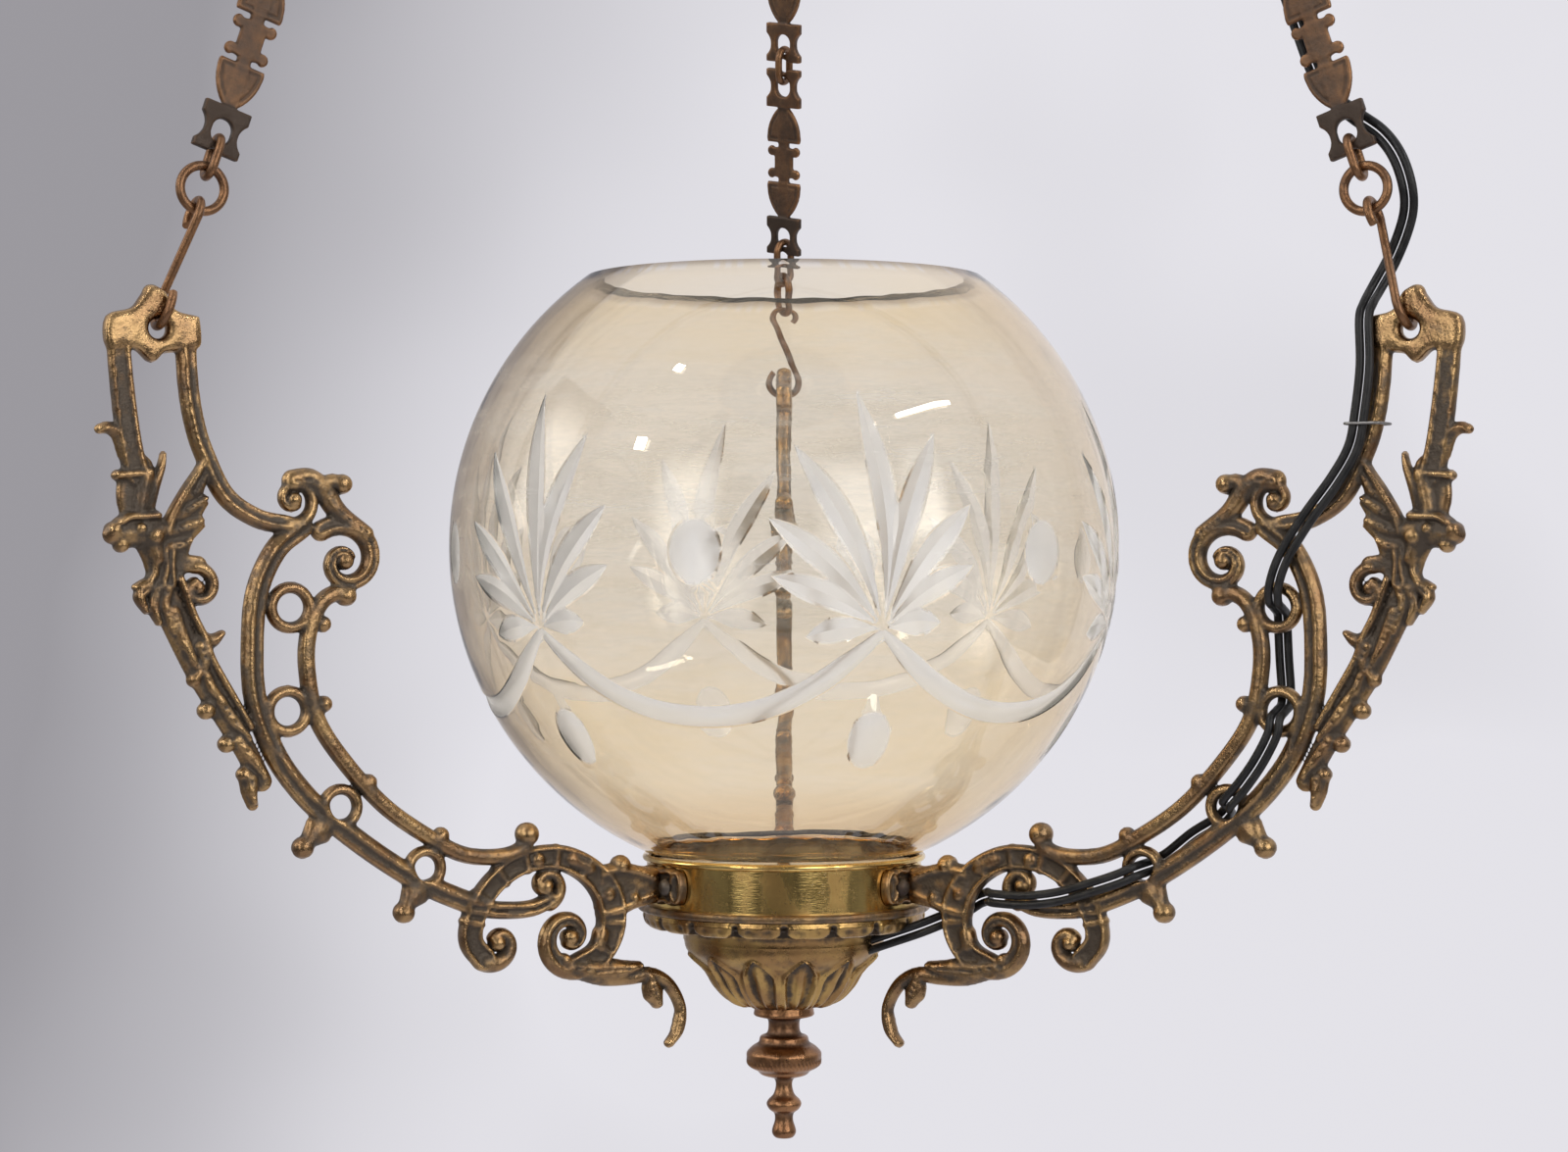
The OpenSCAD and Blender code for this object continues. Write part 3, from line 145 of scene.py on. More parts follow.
class Shape:
    """Points and faces that are put together part by part; each part keeps to itself."""

    def __init__(self):
        self.points, self.faces, self.count = [], [], 0
        self.values = {}

    def add(self, points, *faces, **values):
        points = np.asarray(points, float)
        for group in faces:
            self.faces += [[self.count + k for k in f] if not isinstance(f, np.ndarray)
                           else (f + self.count).tolist() for f in group]
        self.points.append(points)
        self.count += len(points)
        for name, value in values.items():
            self.values.setdefault(name, []).append(np.broadcast_to(value, len(points)))
        return self

    def lathe(self, outline, sides, swell=None):
        """Turns a closed outline (radius, height) round the axis. Each point then moves by
        swell(angle, r, z) mm along the outline's normal. The attribute "hollow" holds that step
        and how far the outline itself stands out of its mean over 4 mm."""
        o = np.asarray(outline, float)
        area = (o[:, 0] * np.roll(o[:, 1], -1) - o[:, 1] * np.roll(o[:, 0], -1)).sum()
        if area > 0:
            o = o[::-1]
        step = np.roll(o, -1, 0) - np.roll(o, 1, 0)
        n = np.column_stack([-step[:, 1], step[:, 0]]) / np.linalg.norm(step, axis=1)[:, None]
        way = np.concatenate([[0], np.cumsum(np.linalg.norm(step_to_next(o), axis=1))])
        mean = sum(np.column_stack([np.interp((way[:-1] + k) % way[-1], way, np.append(c, c[0]))
                                    for c in o.T]) for k in np.arange(-2, 2.1, 0.5)) / 9
        stand = ((o - mean) * n).sum(1)
        a = np.arange(sides) * 2 * math.pi / sides
        aa, rr = np.meshgrid(a, o[:, 0], indexing="ij")
        zz = np.broadcast_to(o[:, 1], rr.shape)
        d = swell(aa, rr, zz) if swell else np.zeros(rr.shape)
        rr, zz = rr + d * n[:, 0], zz + d * n[:, 1]
        points = np.stack([rr * np.cos(aa), rr * np.sin(aa), zz + LEVEL], axis=-1)
        return self.add(points.reshape(-1, 3), quads(sides, len(o), True, True),
                        hollow=(d + stand).ravel() + 0.2)

    def rod(self, path, radius, sides=16, closed=False, **values):
        """A round rod along a path: a circle in the plane square to the path at each point, its
        first direction carried along without twist."""
        p = np.asarray(path, float)
        n = len(p)
        ahead, behind = np.roll(p, -1, 0), np.roll(p, 1, 0)
        if not closed:
            ahead[-1], behind[0] = p[-1], p[0]
        h = ahead - behind
        h /= np.linalg.norm(h, axis=1)[:, None]
        u = np.empty_like(p)
        side = np.cross(h[0], [0.0, 1.0, 0.1])
        for i in range(n):
            side = side - h[i] * side.dot(h[i])
            side /= np.linalg.norm(side)
            u[i] = side
        w = np.cross(h, u)
        a = np.arange(sides) * 2 * math.pi / sides
        r = np.broadcast_to(radius, n)[:, None, None]
        ring = p[:, None] + r * (u[:, None] * np.cos(a)[None, :, None]
                                 + w[:, None] * np.sin(a)[None, :, None])
        faces = [quads(n, sides, closed, True)]
        if not closed:
            faces.append([list(range(sides - 1, -1, -1)), list(range((n - 1) * sides, n * sides))])
        return self.add(ring.reshape(-1, 3), *faces, **values)

    def build(self, name, body, slot, finish, replaces=(), smooth=30):
        """Writes the shape into a mesh object in metres, which rides on a body of the frame."""
        points = np.vstack(self.points) * MM
        mesh = bpy.data.meshes.new(name)
        mesh.from_pydata(points.tolist(), [], self.faces)
        mesh.update()
        for key, value in self.values.items():
            mesh.attributes.new(key, "FLOAT", "POINT").data.foreach_set(
                "value", np.concatenate(value).astype(np.float32))
        mesh.shade_smooth()
        mesh.set_sharp_from_angle(angle=math.radians(smooth))
        mesh.materials.append(finish)
        piece = bpy.data.objects.new(name, mesh)
        bpy.context.scene.collection.objects.link(piece)
        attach(piece, body)
        if replaces:
            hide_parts(*replaces)
        return piece


# ---------------------------------------------------------------- castings as height maps

# Cross-sections of the castings' bars: half the thickness against the place across the bar,
# from -1 at its right edge to 1 at its left edge
SECTIONS = {
    "round": [(-1, 0.9), (-0.8, 2.0), (-0.5, 2.75), (0, 3.2), (0.5, 2.75), (0.8, 2.0), (1, 0.9)],
    "rib_left": [(-1, 2.0), (-0.9, 2.5), (-0.45, 2.55), (-0.3, 2.1), (-0.18, 2.1), (0.05, 3.3),
                 (0.22, 3.55), (0.4, 3.3), (0.75, 2.4), (1, 1.3)],
    "rib_right": [(-1, 1.3), (-0.75, 2.4), (-0.4, 3.3), (-0.22, 3.55), (-0.05, 3.3),
                  (0.18, 2.1), (0.3, 2.1), (0.45, 2.55), (0.9, 2.5), (1, 2.0)],
    "outer": [(-1, 1.5), (-0.85, 2.9), (-0.64, 3.55), (-0.42, 3.1), (-0.3, 2.1), (-0.18, 2.5),
              (0.42, 2.5), (0.55, 2.35), (0.68, 3.0), (0.8, 2.95), (0.9, 2.3), (1, 1.6)],
    "flat": [(-1, 1.5), (-0.82, 2.5), (-0.6, 3.15), (0, 3.35), (0.6, 3.15), (0.82, 2.5), (1, 1.5)],
    "channel": [(-1, 1.7), (-0.9, 2.9), (-0.78, 3.45), (-0.66, 3.1), (-0.56, 1.9), (0, 1.7),
                (0.56, 1.9), (0.66, 3.1), (0.78, 3.45), (0.9, 2.9), (1, 1.7)],
    "rims": [(-1, 1.6), (-0.8, 3.0), (-0.5, 3.4), (-0.2, 3.0), (-0.06, 1.9), (0.06, 1.9),
             (0.2, 3.0), (0.5, 3.3), (0.8, 2.8), (1, 1.6)],
    "leaf": [(-1, 1.0), (-0.75, 2.3), (-0.35, 3.1), (-0.1, 3.2), (0, 2.4), (0.1, 3.2), (0.35, 3.1),
             (0.75, 2.3), (1, 1.0)],
    "ridge": [(-1, 1.2), (-0.6, 2.0), (-0.2, 3.0), (0, 3.5), (0.2, 3.0), (0.6, 2.0), (1, 1.2)],
    "base": [(-1, 1.4), (-0.7, 1.9), (0.7, 1.9), (1, 1.4)],
}


class Casting:
    """A flat casting, alike on both faces, worked out on a grid over its plane. For every grid
    point it holds half the thickness there, and the distance to the outline (negative inside)."""

    def __init__(self, low, high, cell):
        self.cell = cell
        self.x = np.arange(low[0], high[0] + cell, cell)
        self.z = np.arange(low[1], high[1] + cell, cell)
        shape = (len(self.x), len(self.z))
        self.height = np.full(shape, -6.0)
        self.edge = np.full(shape, 9.0)

    def window(self, low, high, margin=6.0):
        i = np.clip(np.searchsorted(self.x, [low[0] - margin, high[0] + margin]), 0, len(self.x))
        j = np.clip(np.searchsorted(self.z, [low[1] - margin, high[1] + margin]), 0, len(self.z))
        cut = (slice(*i), slice(*j))
        return cut, self.x[cut[0], None], self.z[None, cut[1]]

    def put(self, cut, height, edge, soft=0.25, slope=2.5):
        """Adds a part: the outlines are united, and of two heights the larger one holds, with a
        soft change. Outside its own outline a part's height falls off steeply."""
        height = height - slope * np.maximum(edge, 0)
        a = self.height[cut]
        self.height[cut] = (a + height + np.sqrt((a - height) ** 2 + soft ** 2)) / 2
        self.edge[cut] = np.minimum(self.edge[cut], edge)

    def bar(self, line, width, section="round", scale=1.0, turn_to=None, at=0.5, smooth=True,
            steps=8, wave=None):
        """A bar along a line. Every grid point is measured against its nearest stretch of the
        line: s along it, from 0 to 1, and v across it, in half widths. The height is the
        section's at v; a second section can take over at a share of the length."""
        p = curve(line, steps) if smooth else np.asarray(line, float)
        width = np.atleast_1d(np.asarray(width, float))
        cut, x, z = self.window(p.min(0), p.max(0), 2 + width.max())
        best = np.full((x.size, z.size), 1e9)
        s, v = np.zeros_like(best), np.zeros_like(best)
        length = np.concatenate([[0], np.cumsum(np.linalg.norm(np.diff(p, axis=0), axis=1))])
        for k in range(len(p) - 1):
            d = p[k + 1] - p[k]
            l2 = d.dot(d)
            t = np.clip(((x - p[k, 0]) * d[0] + (z - p[k, 1]) * d[1]) / l2, 0, 1)
            qx, qz = x - p[k, 0] - t * d[0], z - p[k, 1] - t * d[1]
            gap = np.hypot(qx, qz)
            near = gap < best
            best = np.where(near, gap, best)
            s = np.where(near, (length[k] + t * math.sqrt(l2)) / length[-1], s)
            v = np.where(near, np.where(d[0] * qz - d[1] * qx > 0, gap, -gap), v)
        half = np.interp(s, np.linspace(0, 1, len(width)), width) / 2
        v = v / half
        first = np.array(SECTIONS[section])
        height = np.interp(v, first[:, 0], first[:, 1])
        if turn_to:
            second = np.array(SECTIONS[turn_to])
            w = np.clip((s - at) / 0.06 + 0.5, 0, 1)
            height = height * (1 - w) + w * np.interp(v, second[:, 0], second[:, 1])
        if wave:
            height = height + wave[0] * np.sin(2 * math.pi * (wave[1] * s + wave[2] * v))
        size = np.interp(s, np.linspace(0, 1, np.size(scale)), np.atleast_1d(scale))
        self.put(cut, height * size, best - half)

    def ball(self, x0, z0, r, lift=0.0, squash=1.0):
        """A round boss: half the thickness is lift plus the circle's height over its plane."""
        cut, x, z = self.window((x0 - r, z0 - r), (x0 + r, z0 + r), 3)
        d = np.hypot(x - x0, z - z0)
        self.put(cut, lift + squash * np.sqrt(np.maximum(r * r - d * d, 0)), d - r, 0.15)

    def lobe(self, x0, z0, a, b, angle, height, crease=0.0):
        """An oval swelling with half axes a and b, turned by an angle, with a crease along it."""
        cut, x, z = self.window((x0 - a, z0 - a), (x0 + a, z0 + a), 3)
        c, s = math.cos(math.radians(angle)), math.sin(math.radians(angle))
        u, w = (x - x0) * c + (z - z0) * s, -(x - x0) * s + (z - z0) * c
        q = np.hypot(u / a, w / b)
        top = height * np.maximum(1 - q ** 2.4, 0) ** 0.55 - crease * np.exp(-(w / 0.55) ** 2)
        self.put(cut, top, (q - 1) * min(a, b), 0.15)

    def patch(self, outline, height, rim=0.0, wall=1.0):
        """A flat patch inside a closed outline, rounded down within wall of it, or with a rim."""
        p = np.asarray(outline, float)
        cut, x, z = self.window(p.min(0), p.max(0), 3)
        best = np.full((x.size, z.size), 1e9)
        inside = np.zeros(best.shape, bool)
        for a, b in zip(p, np.roll(p, -1, 0)):
            d = b - a
            t = np.clip(((x - a[0]) * d[0] + (z - a[1]) * d[1]) / d.dot(d), 0, 1)
            best = np.minimum(best, np.hypot(x - a[0] - t * d[0], z - a[1] - t * d[1]))
            if d[1]:
                crosses = ((a[1] > z) != (b[1] > z)) & (x < d[0] * (z - a[1]) / d[1] + a[0])
                inside ^= crosses
        edge = np.where(inside, -best, best)
        depth = np.clip(-edge / wall, 0, 1)
        top = height * (0.72 + 0.28 * np.sqrt(1 - (1 - depth) ** 2))
        top = top + rim * np.exp(-((edge + 1.2) / 0.7) ** 2)
        self.put(cut, top, edge)

    def dot(self, x0, z0, r, depth):
        """A small round dent."""
        cut, x, z = self.window((x0 - r, z0 - r), (x0 + r, z0 + r), 2)
        self.height[cut] -= depth * np.exp(-((x - x0) ** 2 + (z - z0) ** 2) / (r * r))

    def hole(self, x0, z0, r, round_over=0.6):
        """A round hole right through, with a rounded edge."""
        cut, x, z = self.window((x0 - r, z0 - r), (x0 + r, z0 + r), 4)
        d = np.hypot(x - x0, z - z0) - r
        self.edge[cut] = np.maximum(self.edge[cut], -d)
        self.height[cut] -= round_over * np.exp(-np.maximum(d, 0) / 0.7)

    def skin(self, soft=0.7, grow=0.35):
        """The closed surface of the casting. Over the plane and its thickness y a field is formed:
        the softened larger one of |y| - half thickness and the distance to the outline. Its zero
        surface gets one point in each grid cell that it crosses, the mean of the crossings of the
        cell's edges, and one quad round each crossed grid edge."""
        top = self.height[self.edge < 0].max() + 2 * self.cell
        n = int(math.ceil(top / self.cell))
        y = np.arange(-n, n + 1) * self.cell
        a = np.abs(y)[None, :, None] - self.height[:, None, :] - grow / 2
        b = np.broadcast_to(self.edge[:, None, :] - grow, a.shape)
        field = ((a + b + np.sqrt((a - b) ** 2 + soft ** 2)) / 2).astype(np.float32)
        return net_surface(field, (self.x[0], y[0], self.z[0]), self.cell)


def net_surface(field, origin, cell):
    """Points and quads of the surface where a field on a cubic grid changes its sign, with the
    points in the cells and the quads round the crossed edges (surface nets)."""
    shape = np.array(field.shape)
    cells = shape - 1
    total = np.zeros((int(np.prod(cells)), 3))
    count = np.zeros(int(np.prod(cells)))
    strides = np.array([cells[1] * cells[2], cells[2], 1])
    found = []
    for axis in range(3):
        low = [slice(None)] * 3
        high = [slice(None)] * 3
        low[axis], high[axis] = slice(0, -1), slice(1, None)
        a, b = field[tuple(low)], field[tuple(high)]
        at = np.argwhere((a < 0) != (b < 0))
        u, w = (axis + 1) % 3, (axis + 2) % 3
        at = at[(at[:, u] > 0) & (at[:, u] < cells[u]) & (at[:, w] > 0) & (at[:, w] < cells[w])]
        fa, fb = a[tuple(at.T)], b[tuple(at.T)]
        place = at.astype(float)
        place[:, axis] += fa / (fa - fb)
        around = []
        for du, dw in ((-1, -1), (0, -1), (0, 0), (-1, 0)):
            c = at.copy()
            c[:, u] += du
            c[:, w] += dw
            key = c @ strides
            around.append(key)
            for k in range(3):
                total[:, k] += np.bincount(key, place[:, k], len(total))
            count += np.bincount(key, minlength=len(count))
        ring = np.stack(around, axis=1)
        found.append(np.where((fa < 0)[:, None], ring, ring[:, ::-1]))
    used = np.flatnonzero(count)
    index = np.zeros(len(count), np.int64)
    index[used] = np.arange(len(used))
    points = total[used] / count[used, None] * cell + np.array(origin)
    return points, index[np.vstack(found)]


def neighbours(count, faces):
    """Every edge of the faces, both ways round."""
    e = np.vstack([faces, np.roll(faces, -1, 1)]).reshape(2, -1)
    return np.hstack([e, e[::-1]]), np.maximum(np.bincount(
        np.hstack([e[0], e[1]]), minlength=count), 1)


def relax(points, faces, rounds, share=0.5):
    """Moves every point towards the mean of its neighbours by a share, some rounds over."""
    e, n = neighbours(len(points), faces)
    p = points.copy()
    for _ in range(rounds):
        mean = np.column_stack([np.bincount(e[0], p[e[1], k], len(p)) for k in range(3)])
        p += share * (mean / n[:, None] - p)
    return p


def normals(points, faces):
    """Point normals: the sum of the crossed diagonals of the quads round each point."""
    a, b = points[faces[:, 2]] - points[faces[:, 0]], points[faces[:, 3]] - points[faces[:, 1]]
    cross = np.cross(a, b)
    n = np.column_stack([sum(np.bincount(faces[:, c], cross[:, k], len(points))
                             for c in range(4)) for k in range(3)])
    return n / np.maximum(np.linalg.norm(n, axis=1)[:, None], 1e-12)


def relief(points, faces, rounds):
    """How far each point stands out of (above 0) or lies in (below 0) the surface round it: its
    step from the surface relaxed by some rounds, along its normal, in mm."""
    n = normals(points, faces)
    return ((points - relax(points, faces, rounds, 0.6)) * n).sum(1)


def balanced(values):
    """The values less their median, over the spread between their 10th and 90th percentiles."""
    low, middle, high = np.percentile(values, [10, 50, 90])
    return (values - middle) / (high - low)


# ---------------------------------------------------------------- finishes

class Finish:
    """A Principled material, and short calls for the nodes that feed it."""

    def __init__(self, slot, **settings):
        self.made = bpy.data.materials.new(slot.replace("_", " "))
        self.made.use_nodes = True
        self.tree = self.made.node_tree
        self.shader = self.tree.nodes["Principled BSDF"]
        self.place = self.add("TexCoord").outputs["Object"]
        self.shade(**settings)

    def feed(self, socket, value):
        if isinstance(value, bpy.types.NodeSocket):
            self.tree.links.new(value, socket)
        elif value is not None:
            socket.default_value = value

    def shade(self, **settings):
        for name, value in settings.items():
            self.feed(self.shader.inputs[name.replace("_", " ")], value)

    def add(self, kind, *inputs, **settings):
        node = self.tree.nodes.new("ShaderNode" + kind)
        for name, value in settings.items():
            setattr(node, name, value)
        for socket, value in zip(node.inputs, inputs):
            self.feed(socket, value)
        return node

    def value(self, name):
        """A value that the mesh carries at its points; 0 on a mesh without it."""
        return self.add("Attribute", attribute_name=name).outputs["Fac"]

    def noise(self, grain, detail=3.0, rough=0.55, stretch=(1, 1, 1), shift=0.0):
        """Noise with a grain of that size in mm, stretched along an axis by a share below 1."""
        place = self.add("Mapping", self.place, (shift, shift, 0.0), None, stretch).outputs[0]
        node = self.add("TexNoise", place)
        node.inputs["Scale"].default_value = 1000 / grain
        node.inputs["Detail"].default_value = detail
        node.inputs["Roughness"].default_value = rough
        return node.outputs[0]

    def ramp(self, value, low, high, start=0.0, end=1.0):
        return self.add("MapRange", value, low, high, start, end,
                        interpolation_type="SMOOTHSTEP").outputs[0]

    def math(self, operation, a, b=None):
        return self.add("Math", a, b, operation=operation).outputs[0]

    def mix(self, share, a, b):
        node = self.add("Mix", data_type="RGBA")
        for place, value in ((0, share), (6, a), (7, b)):
            self.feed(node.inputs[place], (*value, 1) if isinstance(value, tuple) else value)
        return node.outputs[2]

    def clear_for(self, share, look, tint=(1, 1, 1, 1)):
        """Puts a look on the surface, but lets a share of the rays through, with a tint."""
        through = self.add("BsdfTransparent", tint)
        mixed = self.add("MixShader", share, look.outputs[0], through.outputs[0])
        self.feed(self.tree.nodes["Material Output"].inputs["Surface"], mixed.outputs[0])

    def bump(self, height, depth):
        """Roughness of the surface: the height runs from 0 to 1 over a depth in mm."""
        node = self.add("Bump")
        node.inputs["Distance"].default_value = depth * MM
        self.feed(node.inputs["Height"], height)
        return node.outputs[0]


def old_brass(name, gold, copper, dark, smooth, dull, grain, pits, cloudy=0.4):
    """Worn brass. Colour follows the attributes hollow and edge: dark patina with painted shade where
    the surface lies in, copper tones on the slopes, worn metal with painted highlights on what stands
    out."""
    f = Finish(name)
    hollow = f.value("hollow")
    cloud = f.noise(7, 5, 0.65)
    fine = f.noise(1.1, 3, shift=0.3)
    # Where the surface lies in, the colour runs to the dark colour: real patina, with painted shade
    high = f.ramp(f.math("ADD", hollow, f.ramp(cloud, 0.3, 0.7, -cloudy, cloudy)), -0.6, 0.42)
    body = f.mix(f.ramp(f.noise(16, 3, shift=0.7), 0.35, 0.65), copper, gold)
    # Raised edges get a lighter gold: real wear, with a painted highlight
    bare_and_highlight = f.ramp(f.math("ADD", f.value("edge"), f.ramp(fine, 0.3, 0.7, -0.25, 0.25)), 0.2, 0.9)
    body = f.mix(f.math("MULTIPLY", bare_and_highlight, 0.5), body, tuple(min(1.0, 1.25 * c) for c in gold))
    speck = f.ramp(fine, 0.6, 0.72, 0.0, pits)
    colour = f.mix(speck, f.mix(high, dark, body), dark)
    rough = f.math("ADD", f.ramp(high, 0, 1, dull, smooth), f.ramp(cloud, 0.3, 0.75, -0.05, 0.12))
    height = f.math("ADD", f.noise(3.4, 3, shift=0.5), f.math("MULTIPLY", f.noise(0.8, 3), 0.35))
    f.shade(Base_Color=colour, Metallic=f.ramp(high, 0, 1, 0.55, 1.0), Roughness=rough,
            Normal=f.bump(height, grain))
    return f.made


def polished_brass():
    """The band: polished, with fine brushing round it, brown specks, painted reflections in upright
    darker streaks, and a slight wave.
    """
    f = Finish("bright_brass", Metallic=1.0)
    speck = f.ramp(f.noise(2.2, 4, 0.7), 0.57, 0.7)
    # Painted reflection: upright streaks of darker brown stand in for the room's dark parts mirrored
    # in the band
    painted_reflection_streaks = f.ramp(f.noise(13, 4, stretch=(1, 1, 0.4), shift=0.2), 0.42, 0.68, 0.0, 0.8)
    colour = f.mix(painted_reflection_streaks, (0.82, 0.58, 0.21), (0.36, 0.21, 0.075))
    colour = f.mix(f.math("MULTIPLY", speck, 0.8), colour, (0.12, 0.07, 0.03))
    brush = f.noise(0.5, 2, stretch=(0.15, 0.15, 1))
    f.shade(Base_Color=colour, Roughness=f.ramp(f.math("ADD", speck, painted_reflection_streaks), 0, 1.2, 0.13, 0.4),
            Normal=f.bump(f.math("ADD", brush, f.math("MULTIPLY", f.noise(22, 2), 6)), 0.03))
    return f.made


def plain_metal(name, colour, other, rough, grain=0.04):
    """Dull metal with clouds of a second colour and fine scratches."""
    f = Finish(name, Metallic=1.0)
    cloud = f.noise(7, 4)
    f.shade(Base_Color=f.mix(f.ramp(cloud, 0.35, 0.7), colour, other),
            Roughness=f.ramp(cloud, 0.3, 0.7, rough, rough + 0.2),
            Normal=f.bump(f.noise(0.8, 3, stretch=(1, 1, 0.3)), grain))
    return f.made


def smooth_stuff(name, colour, other, rough, grain, size, coat=0.0, shine=0.5):
    """Porcelain, wire insulation or felt: an even colour with faint clouds and a grain."""
    f = Finish(name, Coat_Weight=coat, Coat_Roughness=0.05, Specular_IOR_Level=shine)
    cloud = f.noise(6, 3)
    f.shade(Base_Color=f.mix(f.ramp(cloud, 0.3, 0.75), colour, other),
            Roughness=f.ramp(cloud, 0.3, 0.7, rough, rough + 0.1),
            Normal=f.bump(f.noise(size, 2), grain))
    return f.made


def amber_glass(wash):
    """The globe. Its wash is amber outside the cuts (attribute cut) and absent on the inner wall
    (attribute inner), paler in the middle, where a milky veil lies over it in streaks, and brown
    at the mouth's rim and towards the foot, where a deeper wash and a painted reflection of the
    brass gallery meet. The cuts are ground white. Shadow rays go through."""
    f = Finish("globe_glass", IOR=1.47, Transmission_Weight=1.0)
    cut = f.ramp(f.value("cut"), 0.05, 0.6)
    outside = f.math("SUBTRACT", 1.0, f.value("inner"))
    level = f.add("SeparateXYZ", f.place).outputs[2]
    middle = f.math("SUBTRACT", f.ramp(level, -0.89, -0.8), f.ramp(level, -0.757, -0.728))
    brown_share = f.math("POWER", f.add("LayerWeight").outputs["Facing"], 1.5)
    streak = f.noise(42, 6, 0.62, stretch=(0.6, 0.6, 2.4))
    deep = f.math("ADD", f.ramp(streak, 0.3, 0.7, -0.3, 0.3), f.math("SUBTRACT", 0.75, middle))
    tone = f.mix(f.ramp(deep, -0.1, 1.1), (1.0, 0.885, 0.67), (1.0, 0.795, 0.455))
    # Brown towards the foot: deeper wash, with a painted reflection of the brass gallery
    brown_share = f.math("MAXIMUM", brown_share, f.ramp(level, -0.909, -0.926, 0.0, 1.0))
    tone = f.mix(brown_share, tone, (0.78, 0.48, 0.16))
    amber = f.math("MULTIPLY", f.math("MULTIPLY", f.math("SUBTRACT", 1.0, cut), outside), wash)
    rim = f.ramp(level, -0.7165, -0.7142, 0.0, 0.85)
    colour = f.mix(rim, f.mix(amber, (1.0, 1.0, 1.0), tone), (0.3, 0.21, 0.12))
    f.shade(Base_Color=colour, Roughness=f.math("MULTIPLY", cut, 0.22),
            Normal=f.bump(f.noise(38, 2), 0.2))
    front, back = f.add("BsdfDiffuse", (0.92, 0.895, 0.845, 1)), f.add(
        "BsdfTranslucent", (0.94, 0.92, 0.87, 1))
    dust = f.add("MixShader", 0.5, front.outputs[0], back.outputs[0])
    haze = f.ramp(f.noise(30, 6, 0.68, stretch=(0.5, 0.5, 2.8), shift=0.4), 0.4, 0.68, 0.02, 0.32)
    veil = f.math("MULTIPLY", f.math("MULTIPLY", haze, f.math("ADD", 0.15, middle)),
                  f.math("SUBTRACT", 1.0, brown_share))
    veil = f.math("MULTIPLY", f.math("MAXIMUM", veil, f.math("MULTIPLY", cut, 0.3)), outside)
    clouded = f.add("MixShader", veil, f.shader.outputs[0], dust.outputs[0])
    shadow = f.add("LightPath").outputs["Is Shadow Ray"]
    f.clear_for(shadow, clouded, (0.97, 0.93, 0.85, 1))
    return f.made


def finish(slot):
    """The Blender material of a record slot, once the finishes have been made."""
    name = slot.replace("_", " ")
    if name not in bpy.data.materials:
        raise RuntimeError(f"No finish for {name}: make the finishes first.")
    return bpy.data.materials[name]


# ---------------------------------------------------------------- arms

C_BAR = [(128, -118), (146.3, -110), (162.9, -100), (179.4, -88), (192.9, -76), (204.2, -60.6),
         (210.8, -43), (212, -25.4), (210.4, -6), (203.5, 9), (194, 17)]
C_BAND = [(124.6, -137.6), (129.4, -131), (128.4, -122), (123.6, -113.6), (115.6, -106.6),
          (105.4, -102.6), (93, -102.8), (81.4, -108.8), (74.4, -118.5), (73.6, -129.5),
          (78.6, -138.4), (87.9, -142.8)]
INNER_RAIL = [(177.3, -6.7), (182.5, -6.4), (187.6, -10.6), (191.4, -20.5), (191.8, -33),
              (188.2, -49.7), (178, -65), (163, -81), (146.3, -92.6), (132.3, -99.7), (118, -101),
              (109.5, -98.6), (107.3, -93.6)]
OUTER_BAR = [(259.5, 79), (258.3, 66), (256.7, 52.5), (255, 42), (253, 34)]
INNER_BAR = [(236, 79), (235, 65), (233, 53), (229.4, 42), (221.8, 27.6), (210.4, 20), (199, 17.6)]
TOP_PLATE = [(231.5, 88.5), (240, 90.5), (243.6, 96.4), (247.4, 98), (251, 95.6), (255, 90.6),
             (263.5, 87.5), (263, 77), (254, 77), (248, 72.6), (242, 77.4), (231.5, 78)]
TAIL = [(245, -4), (238.5, -18), (231, -33), (223, -46), (215.5, -58), (208.5, -71)]
WING = [(249, 18), (241.5, 20.5), (236.5, 27), (232.2, 34.5), (229.2, 38.5), (228.2, 33),
        (230.2, 27.4), (227.8, 25), (230.4, 20.6), (229, 17), (233.5, 12.4), (235.5, 6.5), (243, 4)]
WEB = [(78, -107), (70, -106.4), (62, -107), (53.6, -108.4), (53.6, -120.6), (64, -122.6),
       (72, -126), (80, -122)]
LEAF_DROP = [(88, -143.6), (77, -147.2), (66, -147.8), (57, -147.4), (49.4, -151.6), (44.6, -160),
             (45, -168), (49.2, -173.4)]
RINGS = [(198, -11, 8.2, 4.8), (199, -47, 8.2, 4.8), (179.4, -81, 7.4, 4.2),
         (147.4, -104, 7.3, 4.1)]


def draw_top(c):
    """The arm's head: hook plate, the two bars under it, the bud and the top volute."""
    c.bar(OUTER_BAR, (7.6, 8.4), "outer")
    c.bar([(256.5, 42), (259.5, 48), (263, 50), (266, 49.5)], (7, 3.4), "ridge", 0.85)
    c.bar(INNER_BAR, (6.8, 6.4), "rib_left")
    c.patch(curve(TOP_PLATE + TOP_PLATE[:1], 4)[:-1], 3.5, wall=4.0)
    c.bar([(248, 96), (248.6, 90)], (6, 4), "round", 1.15, smooth=False)
    c.bar([(257.5, 79.5), (250, 77.6), (241, 77.8), (232.6, 80.6)], 3.4, "round", 1.0)
    c.bar(scroll((197, 26.4), 8.8, 2.6, 284, -130), (5.2, 3.8, 2.4), "round", (1.1, 1.0, 0.85),
          smooth=False)
    c.ball(197, 26.4, 2.9, 1.2)


